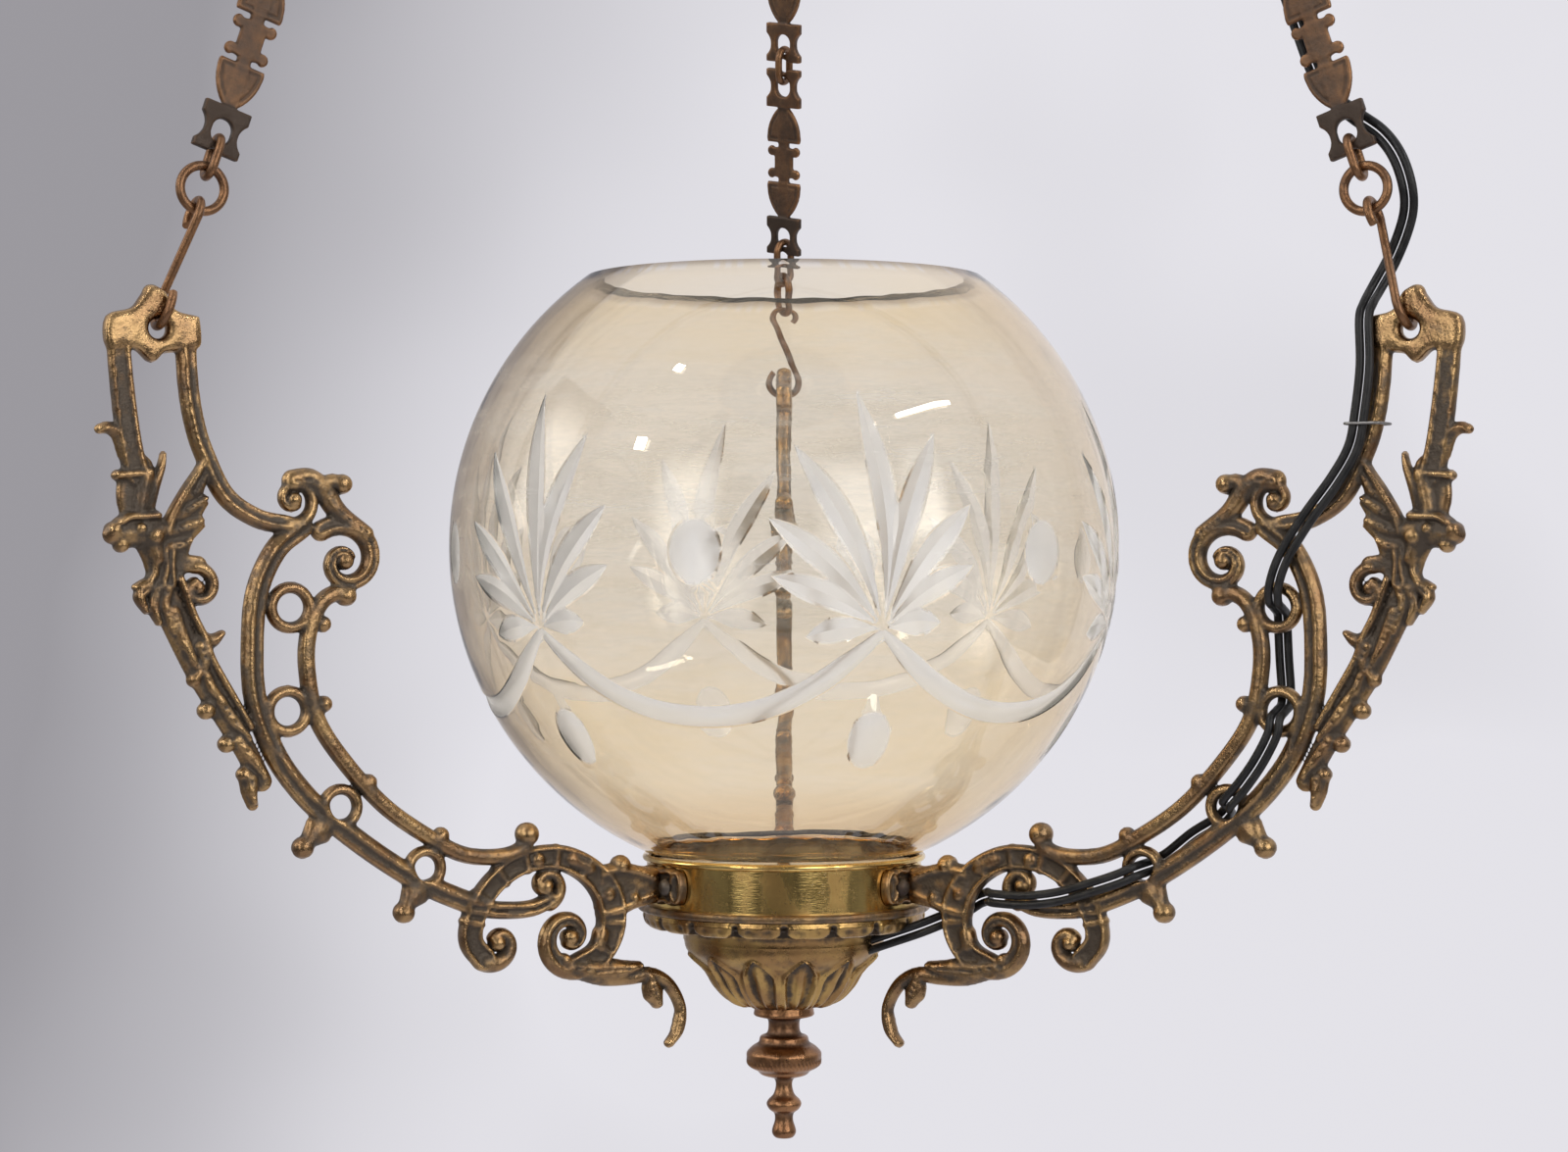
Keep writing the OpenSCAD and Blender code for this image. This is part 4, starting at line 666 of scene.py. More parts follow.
def draw_figure(c):
    """The small winged grotesque under the outer bar, with its curl and its leafy tail."""
    c.bar([(252.8, 36), (254.8, 27), (251.5, 17), (246.5, 7), (244, -3)], (11, 9), "base")
    c.patch(WING, 2.0)
    c.bar([(260, 34), (249, 35)], 3.6, "round", 1.3, smooth=False)
    c.bar([(250, 34), (251.5, 28), (252.5, 22)], (6, 7, 6), "round", 1.35)
    c.bar([(250, 24), (247.5, 30), (244.6, 37), (243.8, 41.5)], (7, 5, 3.4, 2), "round", 1.0)
    c.bar([(246, 15), (252, 15), (257, 14.5), (261.5, 14)], (8, 10.5, 10, 6.5), "round", 1.4)
    c.bar([(246.5, 20.5), (251, 20.2), (256, 20), (259.6, 18)], (3.6, 4, 3.4), "round", 1.7)
    for x, z, r, lift in ((261.3, 15.6, 2.6, 2.6), (258.6, 10.4, 2.4, 2.2), (252.6, 16.2, 1.7, 4.0),
                          (247.6, 13.6, 3.2, 2.8)):
        c.ball(x, z, r, lift, 0.9)
    c.bar([(251, 16), (248, 11), (246.5, 6)], (9, 7.5, 6), "round", 1.35)
    c.bar([(242.5, 15), (241, 20), (236.5, 28), (232, 35), (229.8, 39)], (4.2, 4, 3.6, 2.6), "round",
          1.15)
    for line in ([(236.5, 26), (232, 30), (229.2, 34.5)], [(239, 20.5), (234, 23.5), (229, 26.6)],
                 [(240.5, 15), (235.5, 17), (230.4, 19)], [(242, 10), (238, 10.5), (234.6, 12)]):
        c.bar(line, (4, 4.6, 2.4), "leaf", 0.95)
    for line, width in (([(248, 8), (247.2, 2), (249, -2)], 3.4),
                        ([(243.5, 9), (243, 3), (244.6, -4)], 2.4),
                        ([(240.8, 8.5), (241, 3), (240.6, -3)], 2.4)):
        c.bar(line, width, "round", 1.1)
    for line, width in (([(249.5, -3.5), (252.2, -7), (250, -12)], (5, 4, 2)),
                        ([(246, -4), (247.5, -10), (245.5, -16)], (5, 4.4, 2)),
                        ([(242.5, -4), (243.5, -10), (240.5, -19.5)], (4.4, 4.4, 2))):
        c.bar(line, width, "leaf", 1.05)
    c.bar([(246, -4), (250, -3), (253.6, -3.8)], (7, 2.4), "round", 0.9)
    c.bar([(229.5, -22.5), (226, -22), (222.8, -19.6)], (7, 2.4), "round", 0.85)
    c.bar([(241, 0.5), (236.5, 4), (231.5, 3.8)], (6, 6), "base")
    c.bar(scroll((231.8, -4.0), 7.0, 2.4, 90, 430), (4.6, 4.2, 3.0), "round", 1.05, smooth=False)
    c.ball(231.8, -4.0, 2.6, 1.2)
    c.bar(TAIL, (10, 7), "base")
    c.bar([(238, -1), (233.5, -13), (229.5, -21), (226.5, -29), (219.5, -41), (213, -52)],
          (3.4, 3.2), "round", 1.1)
    for line, width in (([(240.5, -12), (237, -22), (232.5, -31)], (5, 5.4, 3)),
                        ([(231, -24), (229.5, -30), (233, -35)], (5, 5, 3)),
                        ([(229, -34), (226.8, -39), (223, -43)], (4, 4.4, 3)),
                        ([(224, -43), (219, -50), (213.6, -56)], (5, 5.4, 3)),
                        ([(217.5, -56.5), (212.5, -63), (208, -69)], (5, 5.4, 3)),
                        ([(213, -70.5), (212.6, -74.5), (211.6, -78)], (6, 5, 2.4))):
        c.bar(line, width, "leaf", 1.08)
    c.bar([(214, -68), (213.5, -74), (211.8, -79)], (6, 4), "base", 0.8)
    for x, z, r in ((233, -35.5, 2.6), (228.6, -46.2, 3.1), (221.2, -57.8, 3.1), (215, -68.4, 2.7)):
        c.ball(x, z, r, 0.6)


def draw_middle(c):
    """The long C-shaped bar, the scroll and crest at its top, the inner rail and the rings."""
    for x, z, r, inner in RINGS:
        middle = (r + inner) / 2 + 0.4
        c.bar(scroll((x, z), middle, middle, 0, 360), r - inner + 0.9, "round", 0.86, smooth=False)
    c.bar(C_BAR, 7.6, "rib_left", turn_to="rib_right", at=0.53)
    c.bar(scroll((178, 5.2), 13.6, 2.6, 50, 500), (7, 6, 3.4), "rib_left", (1.0, 0.9), smooth=False)
    c.ball(178, 5.2, 3.1, 1.2)
    c.bar([(197, 33), (191, 33.6), (186, 30), (180, 22), (170, 15)], (8, 7.4, 5.6), "leaf", 1.1)
    c.bar([(188, 30.5), (183, 33), (178.6, 32.4)], (6, 5), "round", 0.95)
    c.ball(178.8, 32.2, 3.6, 0.5)
    c.bar(INNER_RAIL, 5.6, "flat")
    c.ball(177.4, -6.9, 3.9, 0.2)
    c.ball(107.3, -93.4, 4.4, 0.3)
    for x, z, r in ((186, -16.8, 3), (185.6, -44.7, 3), (168.8, -72.6, 3), (141.2, -92.4, 3),
                    (193.4, -94.6, 3.9), (155.4, -119.2, 3.9)):
        c.ball(x, z, r, 0.5)
    for line in ([(188, -89), (192, -92.6)], [(151.4, -112.6), (154.6, -116.6)]):
        c.bar(line, (11, 5.4), "round", 1.1, smooth=False)


def draw_foot(c):
    """The broad C-shaped band by the gallery, its scrolls and pads, the web and the drop."""
    c.patch(WEB, 2.2)
    c.bar(C_BAND, (8.5, 8, 9, 11.5, 9), "channel")
    line = curve(C_BAND, 8)
    for i in range(14, len(line) - 10, 8):
        way = line[i + 1] - line[i - 1]
        across = 3.2 * np.array([-way[1], way[0]]) / np.hypot(*way)
        c.bar([line[i] - across, line[i] + across], 3.4, "flat", 0.86, smooth=False)
    for x, z, r in ((103.8, -102.8, 2.6), (75.2, -116.6, 2.6)):
        c.ball(x, z, r, 2.2, 0.6)
    c.bar([(83, -106.4), (90, -103.0)], 6.4, "round", 1.12, smooth=False)
    c.bar([(77.6, -131), (78.6, -135.4)], 6.2, "round", 1.12, smooth=False)
    c.ball(92.5, -139.8, 2.4, 1.6, 0.8)
    c.bar(scroll((119.4, -132), 8, 2.6, 300, 40), (7, 5.4, 3.4), "round", (1.1, 0.95), smooth=False)
    c.ball(119.4, -132, 3.0, 1.2)
    c.bar(scroll((90.4, -131.6), 12, 2.6, 250, 660), (8.6, 6, 3.4), "rib_right", (1.0, 0.85),
          smooth=False)
    c.ball(90.4, -131.6, 3.1, 1.3)
    c.bar([(130, -118.4), (117.7, -120.4), (106, -120.4), (98, -117.6)], (6.4, 5.6), "rims")
    c.bar(scroll((100.2, -112.4), 7, 2, 252, -110), (5.4, 3), "round", 1.05, smooth=False)
    c.ball(100.2, -112.4, 2.8, 1.2)
    c.bar([(76.5, -108.5), (70, -107.6), (62.5, -109), (56, -111.6)], (5, 4.4, 4), "round", 1.15)
    c.bar([(77, -123.6), (70, -122.4), (63, -119.6), (56.4, -117.4)], (5, 4, 3.6), "round", 1.1)
    c.ball(69.4, -106.2, 3.6, 0.8)
    c.ball(64.5, -118.5, 2.2, 2.0, 0.8)
    c.bar(LEAF_DROP, (6.5, 5.4, 3.4), "round", 0.95)
    c.bar([(90, -142.6), (80, -144.4), (70, -144.6), (62, -143.6)], (5, 8.4, 8, 3), "leaf", 1.2)
    c.bar([(58, -148), (56.4, -153), (54.4, -158)], (3, 7, 8, 4.4), "leaf", 1.1)
    c.bar([(45, -163), (46.2, -169.5), (49.6, -173.6)], (3, 4.4, 2), "leaf", 0.95)


def wing_castings():
    """The bracket's two wings, drawn flat over arc and height, then bent round the band: an oval
    rim at each end, a hood from the middle over the screw, and a low floor between them."""
    c = Casting((-18, -124), (18, -105), 0.5)
    c.patch([(-12, -121), (12, -121), (13.6, -119), (13.6, -110), (12, -108.2), (-12, -108.2),
             (-13.6, -110), (-13.6, -119)], 1.5)
    for s in (-1, 1):
        oval = [(s * 12.2 + 2.5 * math.cos(a), -114.6 + 5.4 * math.sin(a))
                for a in np.linspace(0, 2 * math.pi, 33)]
        c.bar(oval, 2.4, "round", 1.0, smooth=False)
        c.bar([(0, -108.8), (s * 4, -109.4), (s * 8, -108.9), (s * 11.4, -110.2)], 2.6, "round",
              0.95)
        c.bar([(0, -120.4), (s * 5, -119.4), (s * 8.4, -120.3), (s * 11.4, -119.2)], 2.6, "round",
              0.95)
    points, faces = c.skin()
    points = relax(points, faces, 1)
    hollow, edge = balanced(relief(points, faces, 20)), balanced(relief(points, faces, 3))
    r = 52.35 + np.where(points[:, 1] > 0, points[:, 1], 0.04 * points[:, 1])
    a = points[:, 0] / 53.6
    bent = np.column_stack([r * np.cos(a), r * np.sin(a), points[:, 2]])
    return bent, faces, hollow, edge


def arm_skin():
    """One arm as points (radius, sideways, height), faces, and the two relief attributes."""
    c = Casting((40, -178), (270, 101), 0.73)
    for draw in (draw_foot, draw_middle, draw_figure, draw_top):
        draw(c)
    for x, z, r, inner in RINGS:
        c.hole(x, z, inner + 0.35, 0.2)
    c.hole(*HOOK_HOLE, 3.6, 1.4)
    points, faces = c.skin()
    points = relax(points, faces, 1, 0.4)
    rubbed = np.clip((points[:, 2] - 70) / 8, 0, 1) + 0.35 * np.clip((78 - points[:, 0]) / 8, 0, 1)
    points[:, 0] += SHIFT
    return (points, faces, balanced(relief(points, faces, 26)) + 0.7 * rubbed,
            balanced(relief(points, faces, 3)) + 0.5 * rubbed)


# ---------------------------------------------------------------- chains

def plate_skin():
    """One flat link: spool-shaped eyes, shields with an engraved line, and a small knot between
    them, all cut from circles and boxes."""
    c = Casting((-11, -45), (11, 45), 0.5)
    x, z = np.abs(c.x)[:, None], c.z[None, :]
    q = 38.5 - np.abs(z)
    w, top = 8.5, 29.5
    bow = (w * w + 15.6 ** 2) / (2 * w)

    def box(x0, x1, q0, q1):
        return np.maximum(np.maximum(x0 - x, x - x1), np.maximum(q0 - q, q - q1))

    def disc(x0, q0, r):
        return np.hypot(x - x0, q - q0) - r

    everywhere = (slice(None), slice(None))
    shield = np.maximum(np.hypot(x + bow - w, q - top + 2) - bow, box(-w, w, -1, top))
    knot = np.minimum(box(-4.6, 4.6, 31.6, 39), disc(5.9, 33.4, 2.3))
    knot = np.maximum(knot, -disc(4.3, 30.2, 1.7))
    eye = box(-w, w, -3.3, 13.7)
    eye = np.maximum(eye, -disc(w * 1.44, 4.5, w * 0.72))
    eye = np.maximum(eye, -disc(0, -4.9, 3.0))
    hole = np.hypot(x, np.maximum(np.abs(q - 4.5) - 0.845, 0)) - 3.655
    groove = 0.32 * np.exp(-((shield + 1.9) / 0.42) ** 2)
    c.put(everywhere, 1.02 - groove, np.maximum(shield, 12.6 - q))
    c.put(everywhere, 1.0 + 0 * shield, box(-2.6, 2.6, 11, 39))
    c.put(everywhere, 1.05 + 0 * shield, knot)
    c.put(everywhere, 1.62 + 0 * shield, eye)
    c.edge = np.maximum(c.edge, -hole)
    points, faces = c.skin(0.45, 0.1)
    points = relax(points, faces, 1, 0.35)
    return (points, faces, 0.3 * balanced(relief(points, faces, 14)) - 0.2,
            0.35 * balanced(relief(points, faces, 3)))


def on_chain(points, azimuth, along, share):
    """Places points of a link's own frame on its chain: turned about the chain's line by a share
    of the rear chain's twist, then leaned in and moved to the arm's hook hole."""
    p = np.asarray(points, float)
    twist = math.radians(REAR_TWIST * share if azimuth == AZIMUTH["rear"] else 0.0)
    x = p[:, 0] * math.cos(twist) - p[:, 1] * math.sin(twist)
    n = p[:, 0] * math.sin(twist) + p[:, 1] * math.cos(twist)
    up = p[:, 2] + along + HOOK_SEAT
    lean = CHAIN_LEAN
    return turn(np.column_stack([
        HOOK_HOLE[0] + SHIFT + x * math.cos(lean) - up * math.sin(lean), n,
        HOOK_HOLE[1] + x * math.sin(lean) + up * math.cos(lean)]), azimuth)


# ---------------------------------------------------------------- globe

UNIT = 127.0
SECTOR = UNIT * math.pi / 3
FIRST = -51.5
COLUMNS = 38
LEAVES = [(-8, 83), (-32, 63), (-41, 38), (-40, 18), (-28, -3), (21, 68), (33, 43), (34, 22),
          (22, 2)]
CENTRE_Z = -18.0
SPRAY_AZIMUTH = -90 + 16.0


def swag_line(x):
    """Height of the swag's middle and its slope, at a distance x from a spray; it repeats."""
    away = np.abs((x + SECTOR / 2) % SECTOR - SECTOR / 2)
    side = np.sign((x + SECTOR / 2) % SECTOR - SECTOR / 2)
    rest = 1 - away / (SECTOR / 2)
    return -48.5 + 29 * rest ** 2.2, -side * 29 * 2.2 * rest ** 1.2 / (SECTOR / 2)


def swag_half(x):
    away = np.abs((x + SECTOR / 2) % SECTOR - SECTOR / 2)
    return 1.2 + 2.8 * np.clip(away / 16, 0, 1) ** 0.7


def cut_depth(x, z):
    """Depth of the cuts at points of the unrolled sector, and the largest share of a cut: mitred
    leaves that meet at the spray's centre, the swag, and the two hollow ovals."""
    depth = np.zeros(len(x))
    for u, v in LEAVES:
        length = math.hypot(u, v)
        along = (x * u + (z - CENTRE_Z) * v) / length
        across = ((z - CENTRE_Z) * u - x * v) / length
        t = np.clip(along / length, 0, 1)
        across = across - 0.05 * length * np.sin(math.pi * t) * (1 if u > 0 else -1)
        half = leaf_half(t) * (along > 0) * (along < length)
        depth = np.maximum(depth, 0.3 * (half - np.abs(across)))
    middle, slope = swag_line(x)
    u = (z - middle) / np.sqrt(1 + slope ** 2) / swag_half(x)
    depth = np.maximum(depth, 0.95 * swag_half(x) / 4 * (1 - u ** 2))
    for x0, z0, a, b in ((0, -57, 9.6, 10.8), (SECTOR / 2, 8.5, 9.8, 12)):
        q = ((x - x0) / a) ** 2 + ((z - z0) / b) ** 2
        depth = np.maximum(depth, 1.1 * (1 - q))
    return depth


def leaf_half(t):
    return 5.0 * np.sin(math.pi * np.clip(t, 0, 1) ** 1.42) ** 0.92


def sector_mesh():
    """One sixth of the outer wall, unrolled: a net of points, finer in the cuts, joined by a
    triangulation that keeps the cuts' outlines and middles as edges."""
    low, high = SHOULDER_Z, GLOBE_Z + math.sqrt(GLOBE_R ** 2 - MOUTH_R ** 2)
    xs = FIRST + SECTOR * np.arange(COLUMNS + 1) / COLUMNS
    zs = np.linspace(low, high, 56)
    points, lines = [], []

    def line(p, closed=False):
        start = len(points)
        points.extend(map(tuple, p))
        n = len(p)
        lines.extend((start + i, start + (i + 1) % n) for i in range(n if closed else n - 1))

    for u, v in LEAVES:
        length = math.hypot(u, v)
        t = np.linspace(0.12, 1, 26)
        bow = 0.05 * length * np.sin(math.pi * t) * (1 if u > 0 else -1)
        for share in (-1, -0.5, 0, 0.5, 1):
            across = bow + share * leaf_half(t)
            p = np.column_stack([t * u - across * v / length,
                                 CENTRE_Z + t * v + across * u / length])
            keep = slice(None) if share == 0 else slice(1, -1)
            line(p[keep])
    x = xs
    middle, slope = swag_line(x)
    for share in (-1, -0.72, -0.38, 0, 0.38, 0.72, 1):
        line(np.column_stack([x, middle + share * swag_half(x) * np.sqrt(1 + slope ** 2)]))
    for x0, z0, a, b in ((0, -57, 9.6, 10.8), (SECTOR / 2, 8.5, 9.8, 12)):
        for share in (1, 0.75, 0.5, 0.25):
            angle = np.arange(28) * 2 * math.pi / 28
            line(np.column_stack([x0 + share * a * np.cos(angle),
                                  z0 + share * b * np.sin(angle)]), True)
        points.append((x0, z0))
    near = [(r * math.cos(a), CENTRE_Z + r * math.sin(a)) for r in np.arange(0, 13, 0.9)
            for a in np.linspace(0, 2 * math.pi, max(1, int(r * 7)), endpoint=False)]
    gx, gz = np.meshgrid(xs, zs, indexing="ij")
    grid = np.column_stack([gx.ravel(), gz.ravel()])
    border = ((grid[:, 1] < low + 0.01) | (grid[:, 1] > high - 0.01)
              | (grid[:, 0] < xs[0] + 0.01) | (grid[:, 0] > xs[-1] - 0.01))
    made = np.array(points)
    gap = np.min(np.hypot(grid[:, None, 0] - made[None, :, 0],
                          grid[:, None, 1] - made[None, :, 1]), axis=1)
    grid = grid[(border & (gap > 0.4)) | (gap > 1.4) | (grid[:, 1] < low + 0.01)
                | (grid[:, 1] > high - 0.01)]
    everything = [Vector(p) for p in points + near + grid.tolist()]
    flat, _, faces, _, _, _ = delaunay_2d_cdt(everything, lines, [], 0, 1e-4)
    flat = np.array([tuple(v) for v in flat])
    faces = np.array(faces)
    inside = flat[faces].mean(1)
    depth = cut_depth(flat[:, 0], flat[:, 1])
    return flat, faces[(inside[:, 1] > low) & (inside[:, 1] < high)], depth


def globe_skin():
    """The globe: six like sectors outside, and a lathed foot, inner wall and ground rim that use
    the sectors' own columns. Points that fall together are joined."""
    flat, faces, depth = sector_mesh()
    shape = Shape()
    for k in range(6):
        a = math.radians(SPRAY_AZIMUTH) + (flat[:, 0] + k * SECTOR) / UNIT
        ring = np.sqrt(GLOBE_R ** 2 - (flat[:, 1] - GLOBE_Z) ** 2) / GLOBE_R
        out = np.column_stack([ring * np.cos(a), ring * np.sin(a), (flat[:, 1] - GLOBE_Z) / GLOBE_R])
        sunk = GLOBE_R - np.maximum(depth, 0)
        shape.add(out * sunk[:, None] + (0, 0, GLOBE_Z + LEVEL), faces,
                  cut=np.clip(depth / 0.25, 0, 1), inner=0.0)
    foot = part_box("globe")[0][2] / MM - LEVEL
    inner = GLOBE_R - GLASS
    shoulder = math.sqrt(GLOBE_R ** 2 - (SHOULDER_Z - GLOBE_Z) ** 2)
    bend = shoulder - FOOT_R
    bend_z = SHOULDER_Z - bend
    profile = [(shoulder, SHOULDER_Z)]
    profile += [(shoulder - bend * math.cos(a), bend_z + bend * math.sin(a))
                for a in np.radians([58, 40, 20, 0])]
    profile += [(FOOT_R, foot + 0.8), (FOOT_R - 0.8, foot), (FOOT_R - GLASS + 0.8, foot),
                (FOOT_R - GLASS, foot + 0.8)]
    profile += [(shoulder - (bend + GLASS) * math.cos(a), bend_z + (bend + GLASS) * math.sin(a))
                for a in np.radians([0, 20, 40, 58])]
    top = GLOBE_Z + math.sqrt(GLOBE_R ** 2 - MOUTH_R ** 2)
    start = math.asin((bend_z + (bend + GLASS) * math.sin(math.radians(60)) - GLOBE_Z) / inner)
    end = math.asin((top - GLOBE_Z) / inner)
    rise = np.linspace(start, end, 60)[1:]
    profile += [(inner * math.cos(a), GLOBE_Z + inner * math.sin(a)) for a in rise]
    profile += [(profile[-1][0] + 0.5, top + 0.01), (MOUTH_R - 0.5, top + 0.01), (MOUTH_R, top)]
    p = np.array(profile)
    x = FIRST + SECTOR * np.arange(6 * COLUMNS) / COLUMNS
    a = math.radians(SPRAY_AZIMUTH) + x / UNIT
    aa, rr = np.meshgrid(a, p[:, 0], indexing="ij")
    zz = np.broadcast_to(p[:, 1], rr.shape)
    points = np.stack([rr * np.cos(aa), rr * np.sin(aa), zz + LEVEL], axis=-1).reshape(-1, 3)
    face = quads(6 * COLUMNS, len(p), True, False)
    inward = np.tile((np.arange(len(p)) >= 9).astype(float), 6 * COLUMNS)
    shape.add(points, face, cut=0.0, inner=inward)
    return shape


# ---------------------------------------------------------------- turned pieces

def finial_outline():
    outer = [(11.1, -163.0), (11.3, -164.6), (11.1, -166.4), (6.6, -167.5), (5.9, -170.2),
             (6.5, -173.1), (8.9, -174.3), (9.7, -176.6), (11.9, -178), (14, -180.2), (14.2, -182.2),
             (14.1, -184.6), (12.4, -186.2), (10.2, -187.3), (8.6, -188.8), (5.4, -189.8),
             (3.6, -190.6), (3.1, -193), (4, -196.3), (6, -198.4), (6.6, -200.1), (5.6, -202),
             (3.7, -203.6), (3.5, -206.3), (4.4, -209.2), (4.5, -211), (3.4, -212.6),
             (1.6, -213.0)]
    p = curve(outer, 4)
    return np.vstack([p, [(0.4, -213.0), (0.4, -175), (5.3, -174.8), (5.3, -163.0)]])


def cup_outline():
    share = np.array([(1, 0), (0.975, 0.15), (0.9, 0.28), (0.815, 0.4), (0.75, 0.52),
                      (0.675, 0.7), (0.53, 0.9), (0.3, 1)])
    p = curve(share, 9) * (38, -25.6) + (0, -137)
    inner = p[::-4] - (1.8, -0.7)
    inner[0, 1] = -160.8
    inner = inner[(inner[:, 0] > 8) & (inner[:, 1] < -139)]
    return np.vstack([p, [(5.5, -162.5), (5.5, -160.9)], inner,
                      [(32, -138.8), (32, -130), (33.8, -130), (33.8, -136.9)]])


def cup_swell(angle, r, z):
    """Twelve pointed tongues on the cup's lower part: a raised rim round a sunk ring with a leaf
    in its middle, and a small spear between each two."""
    outer = (r > 33.9) | (z < -138) & (r > 37.6 - 1.62 * (-z - 137))
    pitch = 2 * math.pi / 12
    a = (angle - math.radians(-78) + pitch / 2) % pitch - pitch / 2
    x = np.abs(a) * r
    fall = -141.5 - z
    half = np.minimum(6.9, 0.475 * pitch * r) * np.clip(fall / 6.5, 0, 1) ** 0.5
    d = x - half
    rim = 1.15 * np.exp(-((d + 0.95) / 0.75) ** 2)
    sunk = -0.7 * np.clip((-d - 1.7) / 0.7, 0, 1)
    leaf = 1.5 * np.exp(-(x / (0.1 + 0.27 * half)) ** 2) * np.clip((fall - 3) / 2.5, 0, 1)
    spear = 0.9 * np.exp(-((pitch / 2 - np.abs(a)) * r / 0.8) ** 2) * np.clip((fall - 6) / 3, 0, 1)
    between = -0.35 * np.clip(d / 0.8, 0, 1) * np.clip((fall - 4) / 2, 0, 1)
    low = np.clip((fall + 0.6) / 1.2, 0, 1) * np.clip((z + 162.2) / 1.0, 0, 1)
    return outer * low * (rim + sunk + leaf + spear + between)


def petal_outline():
    outer = [(53.4, -126.9), (53.6, -128.4), (52.6, -130.8), (50.4, -132.2), (45.0, -132.6),
             (39.6, -132.9), (38.3, -134.0)]
    return np.vstack([[(34.2, -126.05), (52.6, -126.05), (53.2, -126.3)], curve(outer, 8),
                      [(38.2, -137.0), (34.2, -137.0)]])


def petal_swell(angle, r, z):
    """Eighteen petals: short plump pads, square at the top and round below, each with a faint
    hollow, and a deep cut between each two."""
    pitch = 2 * math.pi / 18
    a = (angle - math.radians(-80) + pitch / 2) % pitch - pitch / 2
    x = np.abs(a) * 52.0
    half = 52.0 * pitch / 2 - 0.6
    down = np.clip((-z - 129.2) / 3.4, 0, 1)
    d = x - half * np.sqrt(np.maximum(1 - 0.55 * down ** 2, 0.02))
    pad = 1.0 * np.clip(-d / 1.8, 0, 1) ** 0.5
    dimple = -0.55 * np.exp(-((x - 3.4) / 1.4) ** 2) * np.exp(-((z + 129.6) / 1.2) ** 2)
    cut = -1.7 * np.clip(d / 0.6 + 0.6, 0, 1)
    face = (z < -126.6) & (r > 46)
    return face * (pad + cut + dimple * (d < 0) - 1.1) * np.clip((-z - 126.6) / 0.8, 0, 1)


def pan_outline():
    return np.array([(17.4, -121.0), (29.2, -121.0), (30.2, -120.2), (42.2, -106.6), (42.6, -106.0),
                     (44.2, -105.9), (44.9, -105.6), (44.9, -105.1), (43.6, -104.9), (42, -105.1),
                     (41.2, -105.9), (29.4, -119.2), (28.6, -120.1), (17.4, -120.2)])[::-1]


def wire_path(side):
    """One of the two wires from the connector block along the chain and through the right arm's
    rings into the gallery; side is -1 or 1, and the wires lie 1.7 mm off the common line."""
    lean = CHAIN_LEAN
    block = np.array([9.5, 16.454, 724.035])
    path = [block, block + (0, 0, -12), block + (8, -1, -24), block + (24, -5, -40)]
    for q in [(-6.4, 5.8, 612), (-6.6, 5.6, 545), (-6.2, 6, 465), (-6.6, 5.6, 375),
              (-6.2, 6, 285), (-6.5, 5.6, 195), (-6.3, 5.8, 112), (-4.6, 6.4, 90), (2, 6.6, 78),
              (9, 5.8, 68), (13, 3, 58), (13.2, 3.5, 48), (10.6, 6, 40), (5.6, 7.6, 33),
              (-1.6, 7.6, 25), (-8.6, 4.6, 17.5)]:
        up = HOOK_SEAT + q[2]
        path.append((246.2 + q[0] * math.cos(lean) - up * math.sin(lean), q[1],
                     84 + q[0] * math.sin(lean) + up * math.cos(lean)))
    runs = [([(231.4, -2, 93), (231.2, -5.6, 87.5), (231.6, -6, 72), (229.8, -6, 56),
              (227.4, -6, 44), (221, -6, 33), (211, -6, 20), (202.6, -6, 7), (199, -6, -2.5)],
             (0, 1, 264)),
            ([(197.6, 6, -19), (198, 6.2, -29), (198.8, 6, -39)], (1, -1, 267)),
            ([(198.2, -6, -55), (193.2, -6.2, -64.5), (187, -6, -73)], (2, 1, 225)),
            ([(173.4, 6, -86.6), (164, 6.2, -92.4), (155, 6, -99.6)], (3, -1, 208)),
            ([(139.4, -6, -107.8), (129, -6.2, -111.4), (117, -6.2, -115), (104, -6.4, -117),
              (92.4, -6.2, -117), (88.4, -4.6, -116.8), (86, 0, -117), (83.6, 4.8, -117.6),
              (79, 6.5, -119.2), (74, 6.3, -122.4), (68.6, 5.8, -125.4), (62, 2.2, -128.6)], None)]
    for points, ring in runs:
        path += [(x + SHIFT, y, z) for x, y, z in points]
        if ring:
            index, way, angle = ring
            c, s = math.cos(math.radians(angle)), math.sin(math.radians(angle))
            path += [(RINGS[index][0] + SHIFT + 2.4 * t * c, 4.9 * t * way,
                      RINGS[index][1] + 2.4 * t * s) for t in (-1, 0, 1)]
    path += [(56 - 29 * t, 0, -131.2 - 10.2 * t) for t in (0, 0.35, 0.7, 1)]
    path += [(20.4, 0, -144.1), (16, 0, -144.8)]
    p = np.array(path, float)
    ahead = np.vstack([p[1:], p[-1:]]) - np.vstack([p[:1], p[:-1]])
    ahead /= np.linalg.norm(ahead, axis=1)[:, None]
    square = np.column_stack([-ahead[:, 2], np.zeros(len(p)), ahead[:, 0]])
    square /= np.linalg.norm(square, axis=1)[:, None]
    return turn(curve(p + 1.7 * side * square, 6), AZIMUTH["right"])


# ---------------------------------------------------------------- settings

class LanternFinishes(bpy.types.PropertyGroup):
    wash: bpy.props.FloatProperty(
        name="Amber wash", description="Strength of the globe's amber wash",
        default=0.85, min=0.0, max=1.0, subtype="FACTOR")
    speckle: bpy.props.FloatProperty(
        name="Speckle", description="How strongly dark specks show on the old brass",
        default=0.55, min=0.0, max=1.0, subtype="FACTOR")


